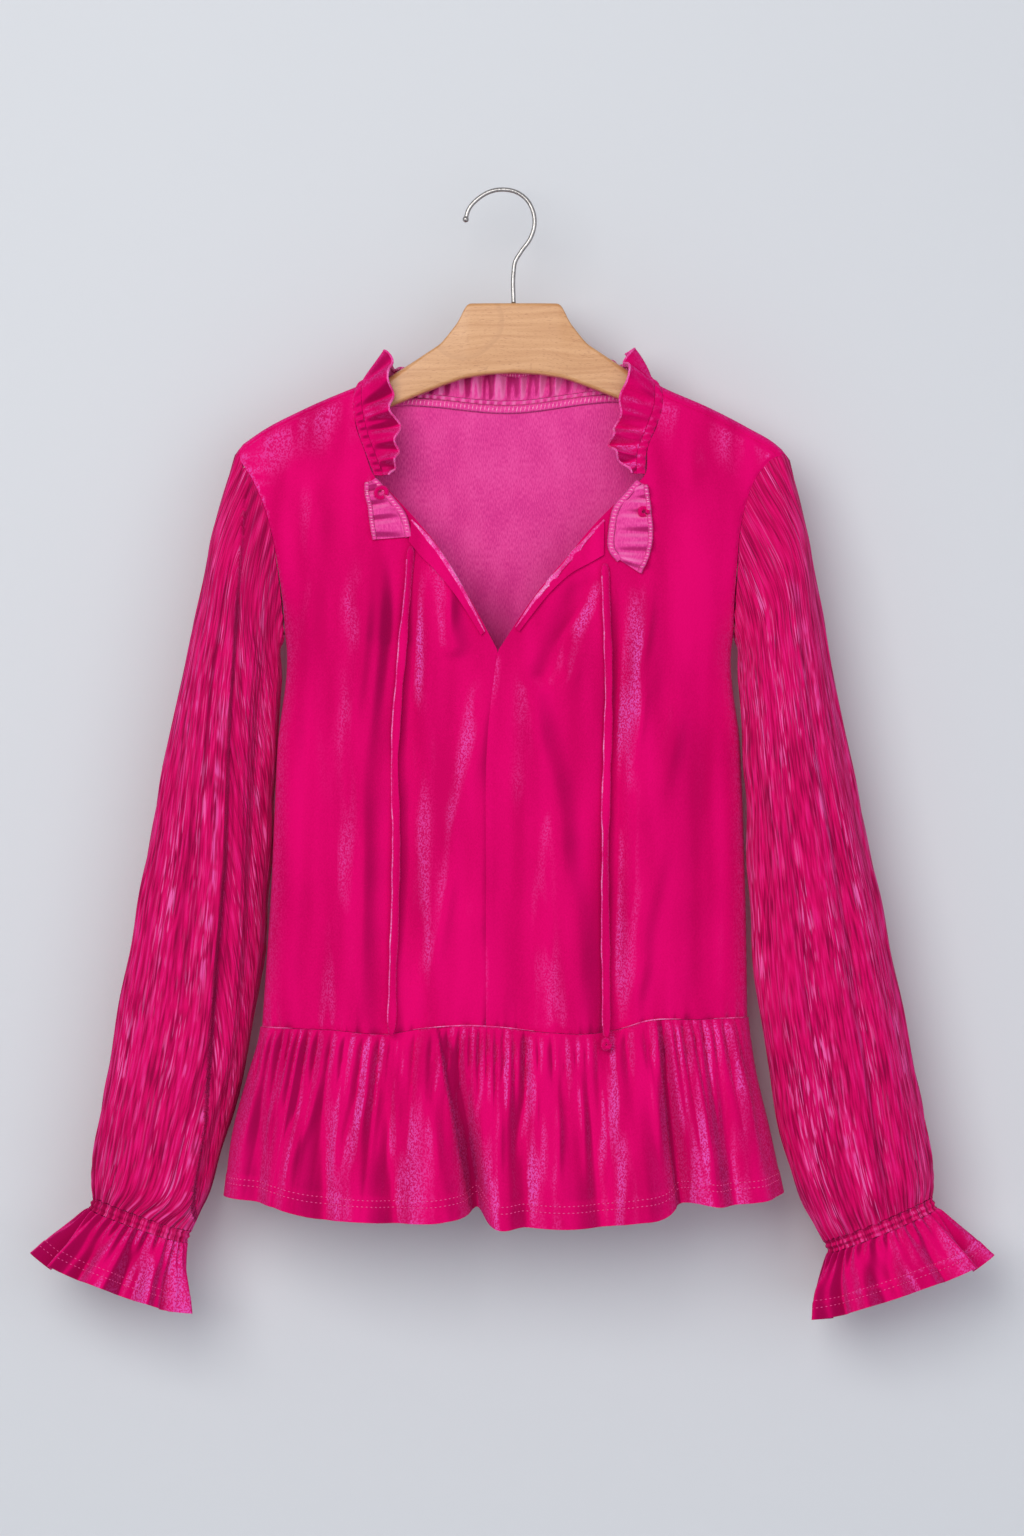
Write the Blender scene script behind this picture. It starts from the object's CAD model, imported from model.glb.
"""Looks of a long-sleeve velvet peplum blouse on a beech hanger, laid out as an add-on.

Left and right are the viewer's. Tables and sizes are in millimetres, in the frame of the CAD
part: the origin is the inside top of the hook, +X to the viewer's right, +Y away and +Z up.
"""

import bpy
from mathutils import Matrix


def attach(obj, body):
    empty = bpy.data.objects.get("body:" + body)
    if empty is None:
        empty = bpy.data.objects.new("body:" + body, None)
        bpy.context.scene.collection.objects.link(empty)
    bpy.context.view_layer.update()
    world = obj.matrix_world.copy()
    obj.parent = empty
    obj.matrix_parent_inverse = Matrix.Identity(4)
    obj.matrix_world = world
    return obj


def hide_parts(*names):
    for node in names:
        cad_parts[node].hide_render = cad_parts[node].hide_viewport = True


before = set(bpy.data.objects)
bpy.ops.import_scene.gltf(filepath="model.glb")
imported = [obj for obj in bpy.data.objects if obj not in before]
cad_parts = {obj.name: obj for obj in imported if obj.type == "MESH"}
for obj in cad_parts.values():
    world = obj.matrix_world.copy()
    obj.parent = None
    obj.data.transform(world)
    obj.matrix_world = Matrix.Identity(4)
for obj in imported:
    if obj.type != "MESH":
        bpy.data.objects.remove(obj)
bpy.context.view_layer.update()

import math

import bpy
import numpy as np
from bpy.props import FloatProperty, FloatVectorProperty, IntProperty, PointerProperty
from mathutils import Vector

bl_info = {
    "name": "Velvet peplum blouse",
    "version": (1, 0, 0),
    "blender": (4, 5, 0),
    "location": "View3D > Sidebar > Blouse",
    "description": "Dresses the blouse and its hanger around the packed CAD part",
    "category": "Add Mesh",
}

MM = 0.001

# Way to the key light in the picture's plane, x and z
LIGHT_WAY = np.array([-0.8, 0.6])

# The studio, in metres: the wall just behind the blouse and the floor below it
WALL_Y = 0.060
FLOOR_Z = -2.4
FLOOR_FRONT = -9.0
WALL_TOP = 4.0
STAGE_HALF_WIDE = 8.0
BEND_RADIUS = 1.2
WORLD_COLOUR = "#E6E8EE"
WORLD_STRENGTH = 0.5
# Soft square lamps: name, place, size, watts and colour
LAMPS = (
    ("key", (-1.0, -2.8, 0.5), 2.0, 62.0, "#FFFDFA"),
    ("fill", (1.2, -2.8, -0.4), 2.6, 24.0, "#F6F7FF"),
    ("back", (0.9, 2.8, 0.3), 2.2, 16.0, "#FFFDFA"),
)

# Directions
ASIDE = np.array([1.0, 0.0, 0.1])
AWAY = np.array([0.0, 1.0, 0.0])
UPWARD = np.array([0.0, 0.0, 1.0])

# Strength of the folds' lean, the least step between points it counts, and the angle of sharp edges
LEAN_GAIN = 1.25
LEAST_STEP = 0.3
SHARP_DEGREES = 62

# Grid sizes of the pieces: rows down and points across or round
FRONT_ROWS = (80, 110)
FRONT_COLUMNS = 92
BACK_ROWS = (72, 110)
BACK_COLUMNS = (20, 100)
PEPLUM_GRID = (60, 361)
SLEEVE_GRID = (124, 230)
CUFF_ROUND = 360
ELASTIC_ROWS = 12
CUFF_ROWS = 34
BAND_ROWS = 7
RUFFLE_ROWS = 18
FACING_GRID = (60, 12)
RUFFLE_END_GRID = (90, 26)
NECK_POINTS = 900
TIE_POINTS = 120

# Dents along the seams, hem stitches, loops of overlock, puckers, gathers and ties
SEAM_DEEP = 0.7
SEAM_HALF = 1.6
STITCH_LONG = 2.4
STITCH_PITCH = 3.4
THREAD_RADIUS = 0.42
OVERLOCK_PITCH = 2.9
LOOP_SLANT = 0.22
LOOP_HALF_WIDE = 0.72
LOOP_RISE = 1.2
LOOP_OVERHANG = 0.3
END_OVERLOCK_PITCH = 2.7
PEPLUM_STITCH_ROWS = (0.885, 0.93)
CUFF_STITCH_ROWS = (0.78, 0.87)
PUCKER_TURN = 0.62
WRIST_GATHERS = 30
SLEEVE_RIBS = 46
TIE_THICK = 2.6
TIE_RISE = 7.0
KNOT_DROP = 4.3


def table(names, *rows):
    """A table with named columns, from rows of numbers."""
    return dict(zip(names.split(), np.array(rows, float).T))


# The skin: the ridge over the hanger, the silhouette and the depth at each height
ROOF_RADIUS = 8.0
ROOF_BLEND = 90.0
SIDE_POWER = 4.0
SEAM_GAP = 0.3
SEAM_TURN = {"left": math.radians(57), "right": math.radians(82)}
UNDERARM = -318.0
RIDGE = table(
    "x z",
    (-197, -194.5), (-190, -184.5), (-180, -176.5), (-143, -156), (-108, -141), (-81, -130.5),
    (-55, -123), (8, -118), (65, -121), (96.4, -130.5), (115, -140.5), (147, -154.5),
    (176, -169.5), (196, -181.5), (204, -189), (211, -198),
)
BODY = table(
    "z left right front back",
    (-605, -174, 176, 38, 27), (-500, -167, 174.5, 37, 26), (-400, -162.5, 171, 35, 25),
    (-318, -157, 166, 33, 24), (-300, -161, 171, 32, 23), (-270, -176, 186, 30, 22),
    (-238, -190, 200, 27, 20), (-206, -198, 210, 24, 18), (-190, -201, 213, 22, 17),
    (-150, -203, 215, 19, 15), (-110, -204, 216, 17, 14),
)

# The armhole seams: place round the sleeve's ring and the seam's x and z on both hands
ARM_FRONT = table(
    "ring left_x left_z right_x right_z",
    (0.10, -187.5, -194, 193.5, -191.5), (0.20, -183.5, -200, 187, -197.5),
    (0.30, -178.5, -208.5, 180, -207), (0.42, -171, -226, 173.5, -224),
    (0.55, -165, -247, 169, -245), (0.70, -160.5, -272, 167, -270),
    (0.85, -157.6, -299, 165.6, -297), (1.00, -157, -318, 166, -318),
)
ARM_BACK = table(
    "ring left_x left_z right_x right_z",
    (0.24, -184, -206, 192, -208), (0.38, -174, -228, 181, -230),
    (0.56, -165, -255, 171.5, -256), (0.78, -158.5, -292, 166, -292),
    (1.00, -157, -318, 166, -318),
)
RIDGE_TURNS = (math.radians(40), math.radians(80))
TIP = {"left": -190.5, "right": 204.0}
SEAM_END = {"left": -189.3, "right": 198.0}
RIDGE_BACK = {"left": (-190, -188), "right": (203, 200)}

# The slit's edges and the seam below them
SLIT = {
    "left": table("x z", (-80, -217), (-62, -236.5), (-43, -260), (-24, -292), (-4.2, -329)),
    "right": table("x z", (86, -219), (65, -240), (44, -265), (22, -291.5), (-3.0, -329)),
}
CENTRE_FRONT = table("z x", (-605, -12), (-500, -12), (-380, -10), (-329, -3.6))

# The large soft folds: where each starts and ends, how far it stands out and how wide it is
FRONT_FOLDS = table(
    "top_x top_z bottom_x bottom_z height width",
    (-98, -230, -106, -590, 4.0, 14), (-66, -262, -62, -600, -5.0, 12),
    (-40, -262, -36, -330, 3.0, 10), (-14, -345, -16, -520, 2.5, 12),
    (6, -330, 54, -600, 6.5, 20), (62, -272, 30, -350, -4.0, 11),
    (84, -265, 78, -600, -5.0, 9), (104, -265, 92, -560, 4.0, 13),
    (118, -360, 122, -590, 2.5, 16), (150, -320, 146, -560, -2.5, 12),
    (-140, -300, -138, -590, -2.5, 12), (30, -420, 12, -600, -3.0, 12),
)
BACK_FOLDS = table(
    "top_x top_z bottom_x bottom_z height width",
    (-120, -260, -112, -590, 4.0, 18), (-72, -230, -84, -590, -3.0, 14),
    (-30, -210, -44, -590, 4.5, 20), (14, -240, 8, -590, -3.5, 15),
    (58, -220, 66, -590, 4.0, 18), (104, -270, 100, -590, -3.0, 14),
    (140, -300, 132, -590, 3.0, 16),
)

# Small creases: a line from one place to another, how far it stands out and how wide it is
FRONT_CREASES = table(
    "ax az bx bz height width",
    (-97, -258, -107, -420, 2.0, 6), (-106, -370, -95, -596, 2.2, 6), (-92, -180, -93, -236, 1.2, 4),
    (-88, -252, -93, -430, 1.4, 4), (-81, -254, -84, -400, -1.6, 4), (-64, -262, -67, -430, -2.2, 6),
    (-56, -262, -52, -400, 1.6, 5), (-47, -276, -33, -322, 2.0, 5), (-69, -400, -70, -596, -2.0, 6),
    (-14, -340, -38, -490, 2.8, 8), (-32, -430, -56, -598, 2.8, 8), (-70, -560, -55, -600, 1.4, 5),
    (8, -326, 36, -428, 3.0, 8), (24, -366, 50, -516, 3.6, 9), (44, -470, 60, -600, 2.4, 8),
    (66, -272, 38, -336, -2.6, 5), (46, -326, 50, -366, 1.8, 6), (84, -272, 80, -440, -3.2, 6),
    (80, -400, 83, -580, -2.4, 6), (103, -264, 96, -370, 2.2, 4), (97, -330, 91, -440, 2.0, 4),
    (124, -330, 110, -460, 2.4, 8), (112, -430, 97, -560, 2.4, 8), (98, -520, 93, -600, 1.8, 6),
    (-141, -196, -130, -280, 2.0, 10), (-131, -250, -146, -350, 1.8, 9), (-150, -380, -140, -560, 1.6, 9),
    (146, -260, 150, -420, 1.4, 10), (140, -420, 146, -590, 1.4, 9), (-124, -420, -126, -590, -1.4, 9),
)
BACK_CREASES = table(
    "from_x from_z to_x to_z height width",
    (-152, -246, -110, -276, 1.2, 7), (-154, -290, -122, -332, -1.0, 7),
    (158, -250, 118, -282, 1.2, 7), (156, -296, 126, -340, -1.0, 7),
    (-60, -176, -20, -196, 0.8, 8), (40, -178, 84, -200, -0.8, 8),
    (-96, -360, -102, -470, 0.9, 9), (-8, -300, -14, -420, -1.0, 8),
    (36, -360, 40, -500, 1.0, 9), (84, -330, 90, -440, -0.9, 8),
    (-50, -480, -56, -585, 0.9, 8), (124, -430, 118, -560, 0.9, 8),
)
# Share of light that the pile over the shoulders' tops gains, where it lies towards the key light
SHOULDER_BLOOM = 0.34

# The waist seam and the peplum
WAIST = table(
    "x z",
    (-176, -598.2), (-122, -599), (-80, -601.4), (-58, -598), (-22, -595.8), (-4, -596.8),
    (31, -600.4), (70, -600.4), (85, -597.6), (100, -593), (140, -591.6), (178, -591.4),
)
HEM = table(
    "x z",
    (-202, -719), (-172, -721.5), (-157, -724.6), (-131, -731), (-102, -732.3), (-75, -733.6),
    (-41, -731.8), (-24, -727.5), (-18, -723.5), (-11, -733), (16, -736.2), (53, -736.9),
    (93, -733), (119, -727), (124, -723), (154, -723), (185, -720), (203, -716.5),
)
PEPLUM = table(
    "down left right front back gather",
    (0.0, -174, 176, 38, 27, 0.5), (0.07, -175.5, 177, 42, 30, 1.9), (0.28, -183, 181, 49, 36, 1.0),
    (0.62, -194, 191, 56, 42, 0.35), (1.0, -200, 201, 61, 46, 0.1),
)
PEPLUM_FOLDS = table(
    "waist_x hem_x height width",
    (-168, -178, -5, 8), (-150, -150, 5, 12), (-128, -126, -5, 8), (-104, -101, 6, 13),
    (-84, -76, -6, 8), (-60, -44, 9, 17), (-33, -18.5, -17, 8), (-12, 2, 6, 15),
    (8, 16, -4, 8), (30, 45, 7, 17), (54, 70, -5, 8), (80, 100, 9, 15),
    (108, 129, -11, 8), (128, 148, 5, 12), (146, 166, -5, 7), (160, 183, 4, 9),
)
PEPLUM_BACK_FOLDS = table(
    "waist_x hem_x height width",
    (-160, -174, -5, 9), (-138, -146, 6, 14), (-112, -116, -6, 9), (-86, -88, 8, 16),
    (-58, -60, -7, 9), (-30, -30, 7, 17), (0, -2, -6, 9), (26, 27, 8, 16),
    (54, 56, -7, 9), (82, 87, 7, 16), (110, 118, -6, 9), (136, 148, 6, 14), (158, 176, -4, 9),
)
# Creases of the peplum's front, as on the body
PEPLUM_CREASES = table(
    "ax az bx bz height width",
    (-168, -596, -190, -712, 1.8, 4), (-150, -598, -168, -690, 2.2, 3.5), (-126, -600, -146, -706, 2.4, 4),
    (-117, -604, -119, -730, 2.4, 4), (-99, -600, -97, -690, 1.8, 3), (-82, -603, -73, -716, 2.8, 3.5),
    (-64, -620, -34, -728, 2.2, 5), (0, -600, 1, -700, 2.2, 5), (21, -600, 24, -690, 2.0, 4),
    (32, -618, 43, -724, 2.2, 3), (45, -604, 66, -716, 2.6, 3.5), (76, -604, 82, -700, 2.2, 5),
    (93, -600, 120, -700, 2.4, 3.5), (124, -604, 158, -716, 2.4, 5), (158, -598, 186, -700, 2.2, 3.5),
    (-106, -606, -110, -700, -1.8, 3), (-90, -606, -86, -700, -1.8, 3), (-136, -604, -158, -700, -1.6, 4),
    (12, -606, 12, -700, -2.0, 3), (60, -606, 74, -710, -1.8, 4), (142, -604, 170, -700, -1.6, 4),
)
# Edges of its big folds, each over a dark valley to its right
PEPLUM_LEDGES = table(
    "ax az bx bz drop width",
    (-47, -596, -24, -722, 6.5, 10.5), (109, -592, 123, -716, 4.0, 7), (-140, -596, -162, -716, 1.4, 6),
    (70, -598, 76, -716, 1.2, 6),
)
# Stretches of the waist seam, in x, where the folded pile opens and shows a pale line
SEAM_BLOOM = ((-64, 22), (-172, -150), (84, 126), (150, 174))

# The neck: a point on the skin (over is the distance over the ridge, front is negative), the
# direction in which band and frill lean, and how far their free edge is from the seam
NECK = table(
    "x over lean_x lean_y lean_z width",
    (-92, -75, 0.90, -0.36, 0.00, 11), (-98, -57, 0.93, -0.34, 0.05, 24),
    (-104, -38, 0.93, -0.35, 0.12, 29), (-107.5, -18, 0.86, -0.30, 0.40, 31),
    (-105, 0, 0.66, 0.00, 0.75, 32), (-100, 13, 0.52, 0.20, 0.83, 31),
    (-91, 21, 0.36, 0.22, 0.91, 28), (-66, 30, 0.05, 0.15, 0.99, 28),
    (-2, 43, 0.00, 0.12, 0.99, 27.5), (72, 31, -0.05, 0.15, 0.99, 28),
    (98, 21, -0.36, 0.22, 0.91, 28), (107, 13, -0.52, 0.20, 0.83, 31),
    (112, 0, -0.66, 0.00, 0.75, 32), (114.5, -18, -0.86, -0.30, 0.40, 31),
    (109, -38, -0.93, -0.35, 0.12, 30), (103, -57, -0.93, -0.34, 0.05, 26),
    (101.5, -75, -0.90, -0.36, 0.00, 11),
)
NECK_FRONT_ROWS = 3
BAND_WIDTH = 7.0
FRILL_WAVES = 26

# What lies turned out on the front: rows down the slit, as inner and outer edge
FACING = {
    "left": table(
        "in_x in_z out_x out_z",
        (-65, -237, -67, -252), (-56, -247.5, -59, -262), (-46, -260.5, -48.5, -272.5),
        (-35, -277.5, -38, -285), (-25, -294.5, -28, -299), (-13, -316.5, -15.5, -319),
    ),
    "right": table(
        "in_x in_z out_x out_z",
        (72, -237, 71.5, -262), (62, -247.5, 61, -268), (49, -262.5, 48.5, -275),
        (36, -278, 36, -286), (25, -291, 26, -297.5), (9, -313.5, 11.5, -316.5),
    ),
}
FRILL_END = {
    "left": table(
        "in_x in_z out_x out_z",
        (-92, -208, -97, -210), (-86.5, -214, -97, -218), (-79, -223, -95, -228),
        (-71, -234, -94, -239), (-67, -249, -92, -251),
    ),
    "right": table(
        "in_x in_z out_x out_z",
        (96.5, -209.5, 101.5, -212), (88, -219.5, 103.5, -223), (80.5, -229, 105, -234),
        (77.5, -243, 106, -248), (77, -257, 103.5, -262), (83, -265.5, 97.5, -275),
    ),
}

# The rolled corner of each front end of the strip: x, z, radius and half width
CURL = {"left": (-86.5, -217.5, 3.0, 2.6), "right": (100.0, -231.0, 2.2, 2.0)}

# Where each tie hangs on the front, from its eyelet down to its free end
TIE = {
    "left": table(
        "x z lift",
        (-65, -263, 0), (-67, -285, 0), (-69.6, -308, 0), (-72, -336, 0), (-74.5, -365, 0),
        (-76.7, -407, 0), (-75.5, -464, 0), (-76, -500, 0), (-76.7, -528, 0), (-78, -560, 0),
        (-78.2, -578, 0.6), (-78.7, -594, 3.5), (-78.9, -602, 7.5),
    ),
    "right": table(
        "x z lift",
        (72.5, -275, 0), (73.5, -300, 0), (74.6, -329, 0), (75, -365, 0), (74.2, -400, 0),
        (73, -436, 0), (72.6, -471, 0), (72.5, -500, 0), (72.6, -528, 0), (73, -560, 0),
        (73.1, -578, 0.6), (73, -594, 3.5), (73, -604, 7.5),
    ),
}

# The sleeves: the outer and inner silhouette at each section, the depths in front and behind,
# and where across the front stands highest
SLEEVE = {
    "left": table(
        "out_x out_z in_x in_z in_y front back crest",
        (-206, -238, -160.5, -331, 4, 23, 18, 0.50), (-217.5, -292, -162.5, -356, 6, 26, 20, 0.52),
        (-229.5, -348, -165, -393, 7, 29, 21, 0.55), (-241, -403, -167.5, -440, 8, 31, 22, 0.60),
        (-253, -467, -171.5, -498, 8, 32, 22, 0.66), (-265.5, -533, -176, -562, 8, 33, 22, 0.68),
        (-277, -595, -184, -622, 8, 33, 22, 0.70), (-287, -655, -199.5, -678, 7, 31, 22, 0.70),
        (-294.5, -700, -213.5, -722, 4, 28, 21, 0.70), (-293.2, -720.4, -224.2, -744.4, 0, 21, 18, 0.55),
    ),
    "right": table(
        "out_x out_z in_x in_z in_y front back crest",
        (216, -238, 168.5, -331, -3, 24, 18, 0.50), (227, -293, 171, -358, -6, 27, 20, 0.50),
        (237, -350, 173.5, -397, -8, 30, 21, 0.50), (248.5, -407, 176, -446, -9, 32, 22, 0.50),
        (262.5, -473, 178.8, -508, -9, 33, 22, 0.48), (277, -540, 182.5, -572, -9, 33, 22, 0.46),
        (289.5, -602, 190.5, -632, -8, 33, 22, 0.46), (301, -660, 202, -688, -6, 31, 22, 0.48),
        (308, -702, 217.5, -729, -3, 28, 21, 0.50), (306.8, -720.6, 230.4, -751.8, 0, 21, 18, 0.50),
    ),
}
RING_TOP = (0.0, 0.03, 0.06)
RING_RIDGE = (0.04, 0.10)

# Long folds of the sleeves: side (1 front, -1 back), share across from the outer edge at the
# fold's top and foot, rows where it starts and ends, how far it stands out and how wide it is
SLEEVE_FOLDS = {
    "left": table(
        "side top_s low_s top low height width",
        (1, 0.70, 0.70, 0.6, 10.2, 3.0, 9), (1, 0.86, 0.85, 1.5, 10.0, -3.0, 8),
        (1, 0.20, 0.22, 0.8, 9.6, 1.5, 9), (1, 0.34, 0.33, 1.2, 10.0, -2.2, 7),
        (1, 0.48, 0.46, 2.0, 9.6, 1.8, 8), (1, 0.58, 0.58, 3.2, 9.8, -1.8, 6),
        (1, 0.10, 0.12, 3.0, 10.0, -1.4, 6), (-1, 0.25, 0.24, 1.0, 9.8, 2.2, 12),
        (-1, 0.45, 0.44, 1.4, 9.8, -2.4, 10), (-1, 0.66, 0.64, 1.0, 9.8, 2.4, 12),
        (-1, 0.84, 0.82, 2.0, 9.8, -1.8, 9),
    ),
    "right": table(
        "side top_s low_s top low height width",
        (1, 0.29, 0.36, 1.3, 9.2, -3.4, 7), (1, 0.16, 0.20, 0.6, 10.0, 2.4, 9),
        (1, 0.44, 0.50, 1.0, 10.2, 3.0, 9), (1, 0.60, 0.64, 1.6, 10.0, -2.4, 7),
        (1, 0.74, 0.77, 0.8, 9.8, 2.2, 9), (1, 0.88, 0.90, 2.0, 9.8, -1.8, 7),
        (-1, 0.22, 0.25, 1.0, 9.8, 2.2, 12), (-1, 0.42, 0.45, 1.2, 9.8, -2.4, 10),
        (-1, 0.62, 0.66, 1.4, 9.8, 2.4, 12), (-1, 0.82, 0.84, 2.0, 9.8, -1.8, 9),
    ),
}
# Fold edge down the front of each sleeve: where its ribbed front gives way to the underside
SLEEVE_EDGE = {
    "left": table("z x step", (-205, -183, 1.0), (-310, -190, 3.5), (-378, -194.5, 4.0), (-483, -198, 4.0),
                  (-551, -203.6, 4.0), (-618.6, -208.3, 3.5), (-664, -211, 3.0), (-712, -220, 0.5)),
    "right": table("z x step", (-240, 203, 0.5), (-308, 211, 2.0), (-378, 220, 2.6), (-483, 236, 2.8),
                   (-551, 246, 2.6), (-618.6, 256, 2.4), (-664, 262.5, 2.0), (-712, 270, 0.5)),
}
# Broad bands of lit pile down each sleeve: share round, half width, rows from and to, strength
SLEEVE_SHEEN = {
    "left": table(
        "round half from to strength",
        (0.10, 0.045, 0.6, 4.6, 0.45), (0.05, 0.03, 3.2, 8.6, 0.3), (0.235, 0.02, 2.4, 6.8, 0.28),
        (0.30, 0.02, 6.2, 9.4, 0.34), (0.17, 0.02, 5.4, 9.2, 0.22), (0.70, 0.05, 1.5, 6.0, 0.3),
        (0.85, 0.04, 4.5, 9.0, 0.3),
    ),
    "right": table(
        "round half from to strength",
        (0.16, 0.035, 0.5, 4.4, 0.5), (0.21, 0.02, 3.0, 7.2, 0.3), (0.33, 0.03, 0.6, 3.6, 0.34),
        (0.44, 0.02, 2.6, 8.6, 0.4), (0.28, 0.02, 6.0, 9.4, 0.34), (0.66, 0.05, 1.5, 6.0, 0.3),
        (0.82, 0.04, 4.5, 9.0, 0.3),
    ),
}
# The cuffs' bands and frills: how far each edge is from the wrist, along and out, and their waves
CUFF_BAND = table("along_out along_in out in front back wave",
                  (0.4, 0.4, 0, 0, 21, 18, 0), (9, 9, 0, 0, 21, 18, 0))
CUFF_FRILL = {
    "left": table(
        "along_out along_in out in front back wave",
        (9.4, 9.4, 0, 0, 21, 18, 0), (20, 20, 6, 3, 25, 21, 1.5),
        (38, 39, 15, 9, 29, 25, 4.5), (56, 57, 22, 15, 32, 28, 6.5),
    ),
    "right": table(
        "along_out along_in out in front back wave",
        (9.4, 9.4, 0, 0, 21, 18, 0), (20, 18, 5, 8, 25, 21, 1.5),
        (38, 33, 12, 19, 29, 25, 4.5), (58, 50, 18, 26, 32, 28, 6.5),
    ),
}
CUFF_WAVES = 9

# The hanger's outline about its centre, and the hook's centre line
HANGER_X = 7.7
HANGER_THICK = 11.0
HANGER_DROP = 2.35
YOKE_CORNER = 2.6
YOKE_POINTS = (70, 60)
YOKE_TIP = ((0.9, 1.2), (0.7, 2.2), (0.35, 2.9), (0.02, 3.1))
ARM_END = 177.0
ARM_TALL = 22.0
YOKE = table(
    "half top bottom",
    (0, -80.2, -130), (18, -80.2, -131), (34, -80.4, -133.5), (39.4, -93, -135), (52, -109, -139.5),
    (71, -121.5, -147), (88.7, -132.5, -154.5),
)
HOOK_LINE = table(
    "x z",
    (-27.4, -22), (-24.2, -11.8), (-17.2, -4.4), (-9, 0.2), (0, 1.6), (9.8, -0.4), (17.2, -6),
    (21.5, -14.2), (22.6, -22.4), (19.7, -33.2), (13, -42.8), (8.6, -50.4), (7.5, -58), (7.5, -79.8),
)
WIRE_RADIUS = 1.6
BALL_RADIUS = 2.3


# Curves, the skin and folds

def smooth(keys, values, at):
    """A cubic curve through a table's rows (Hermite, slopes by differences), level past its ends."""
    keys, values = np.asarray(keys, float), np.asarray(values, float)
    at = np.clip(np.asarray(at, float), keys[0], keys[-1])
    slopes = np.gradient(values, keys, axis=0)
    i = np.clip(np.searchsorted(keys, at, side="right") - 1, 0, len(keys) - 2)
    step = keys[i + 1] - keys[i]
    t = (at - keys[i]) / step
    extra = (...,) + (None,) * (values.ndim - 1)
    t, step = t[extra], step[extra]
    start = values[i] * (2 * t**3 - 3 * t**2 + 1) + slopes[i] * step * (t**3 - 2 * t**2 + t)
    return start + values[i + 1] * (3 * t**2 - 2 * t**3) + slopes[i + 1] * step * (t**3 - t**2)


def look_up(rows, key, name, at):
    """A table's column at places on its key column."""
    return smooth(rows[key], rows[name], at)


def ease(value):
    """0 below 0, 1 above 1 and a smooth step between them."""
    value = np.clip(value, 0, 1)
    return value * value * (3 - 2 * value)


def bell(off, half):
    """1 at 0, falling off on both sides: e to the minus square of off over half."""
    return np.exp(-(off / half) ** 2)


def added_up(steps):
    """Running total of steps, from 0."""
    return np.concatenate([[0], np.cumsum(steps)])


def closed(grid):
    """A grid with its first column once more after its last."""
    return np.concatenate([grid, grid[:, :1]], 1)


def unit(vectors):
    """Vectors at length 1."""
    return vectors / np.maximum(np.linalg.norm(vectors, axis=-1, keepdims=True), 1e-9)


def uneven(a, b, size):
    """Smooth bumps between about -1 and 1, size across: six sine waves in six directions."""
    total = 0.0
    for k in range(6):
        turn = 0.6 + k * 1.13
        wave = 2 * np.pi / size * (0.7 + 0.11 * k)
        total = total + np.sin(wave * (a * math.cos(turn) + b * math.sin(turn)) + 2.1 * k * k)
    return total / 3


def run_of(line):
    """Distance along a line at each of its points."""
    return added_up(np.linalg.norm(np.diff(line, axis=0), axis=-1))


def ridge(x):
    """Height of the cloth's top over the hanger at x."""
    return look_up(RIDGE, "x", "z", x)


def depth_squared(x, z, side):
    """Square of the skin's distance from the side seams' plane.

    Near the ridge it is a circle of ROOF_RADIUS. Further down it is the body's depth, held
    level across the front and rounded off to nothing at the silhouette.
    """
    left, right = look_up(BODY, "z", "left", z), look_up(BODY, "z", "right", z)
    depth = look_up(BODY, "z", "front" if side < 0 else "back", z)
    across = (2 * x - left - right) / (right - left)
    drop = ridge(x) - z
    under = 1 - np.abs(across) ** SIDE_POWER
    mix = ease((drop - ROOF_RADIUS) / ROOF_BLEND)
    low = (ROOF_RADIUS * (1 - mix) + depth * np.sqrt(np.maximum(under, 0)) * mix) ** 2
    low = np.where(mix >= 1, depth**2 * under, low)
    return np.where(drop < ROOF_RADIUS, 2 * ROOF_RADIUS * drop - drop**2, low)


def skin(x, z, side):
    """Points and outward normals of the unfolded skin at x and z, side -1 front, +1 back."""
    x, z = np.broadcast_arrays(np.asarray(x, float), np.asarray(z, float))
    near = 0.4
    y = side * np.sqrt(np.maximum(depth_squared(x, z, side), 0))
    by_x = (depth_squared(x + near, z, side) - depth_squared(x - near, z, side)) / (2 * near)
    by_z = (depth_squared(x, z + near, side) - depth_squared(x, z - near, side)) / (2 * near)
    return np.stack([x, y, z], -1), unit(np.stack([-by_x, 2 * y, -by_z], -1))


def over_point(x, over):
    """Skin point and normal at x, at a distance over the ridge (front negative)."""
    x, over = np.broadcast_arrays(np.asarray(x, float), np.asarray(over, float))
    quarter = ROOF_RADIUS * np.pi / 2
    turn = np.minimum(np.abs(over), quarter) / ROOF_RADIUS
    z = ridge(x) - ROOF_RADIUS * (1 - np.cos(turn)) - np.maximum(np.abs(over) - quarter, 0)
    ahead = (over < 0)[..., None]
    faces = [skin(x, z, side) for side in (-1, 1)]
    return np.where(ahead, faces[0][0], faces[1][0]), np.where(ahead, faces[0][1], faces[1][1])


def folds(x, z, rows):
    """Sum of long soft ridges and valleys, each a bell across its own slanted line."""
    total = np.zeros(np.broadcast(x, z).shape)
    for top_x, top_z, low_x, low_z, height, width in zip(*rows.values()):
        down = (top_z - z) / (top_z - low_z)
        line = top_x + (low_x - top_x) * np.clip(down, 0, 1)
        ends = ease(down / 0.2) * ease((1.12 - down) / 0.15)
        total += height * ends * bell(x - line, width)
    return total


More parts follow.
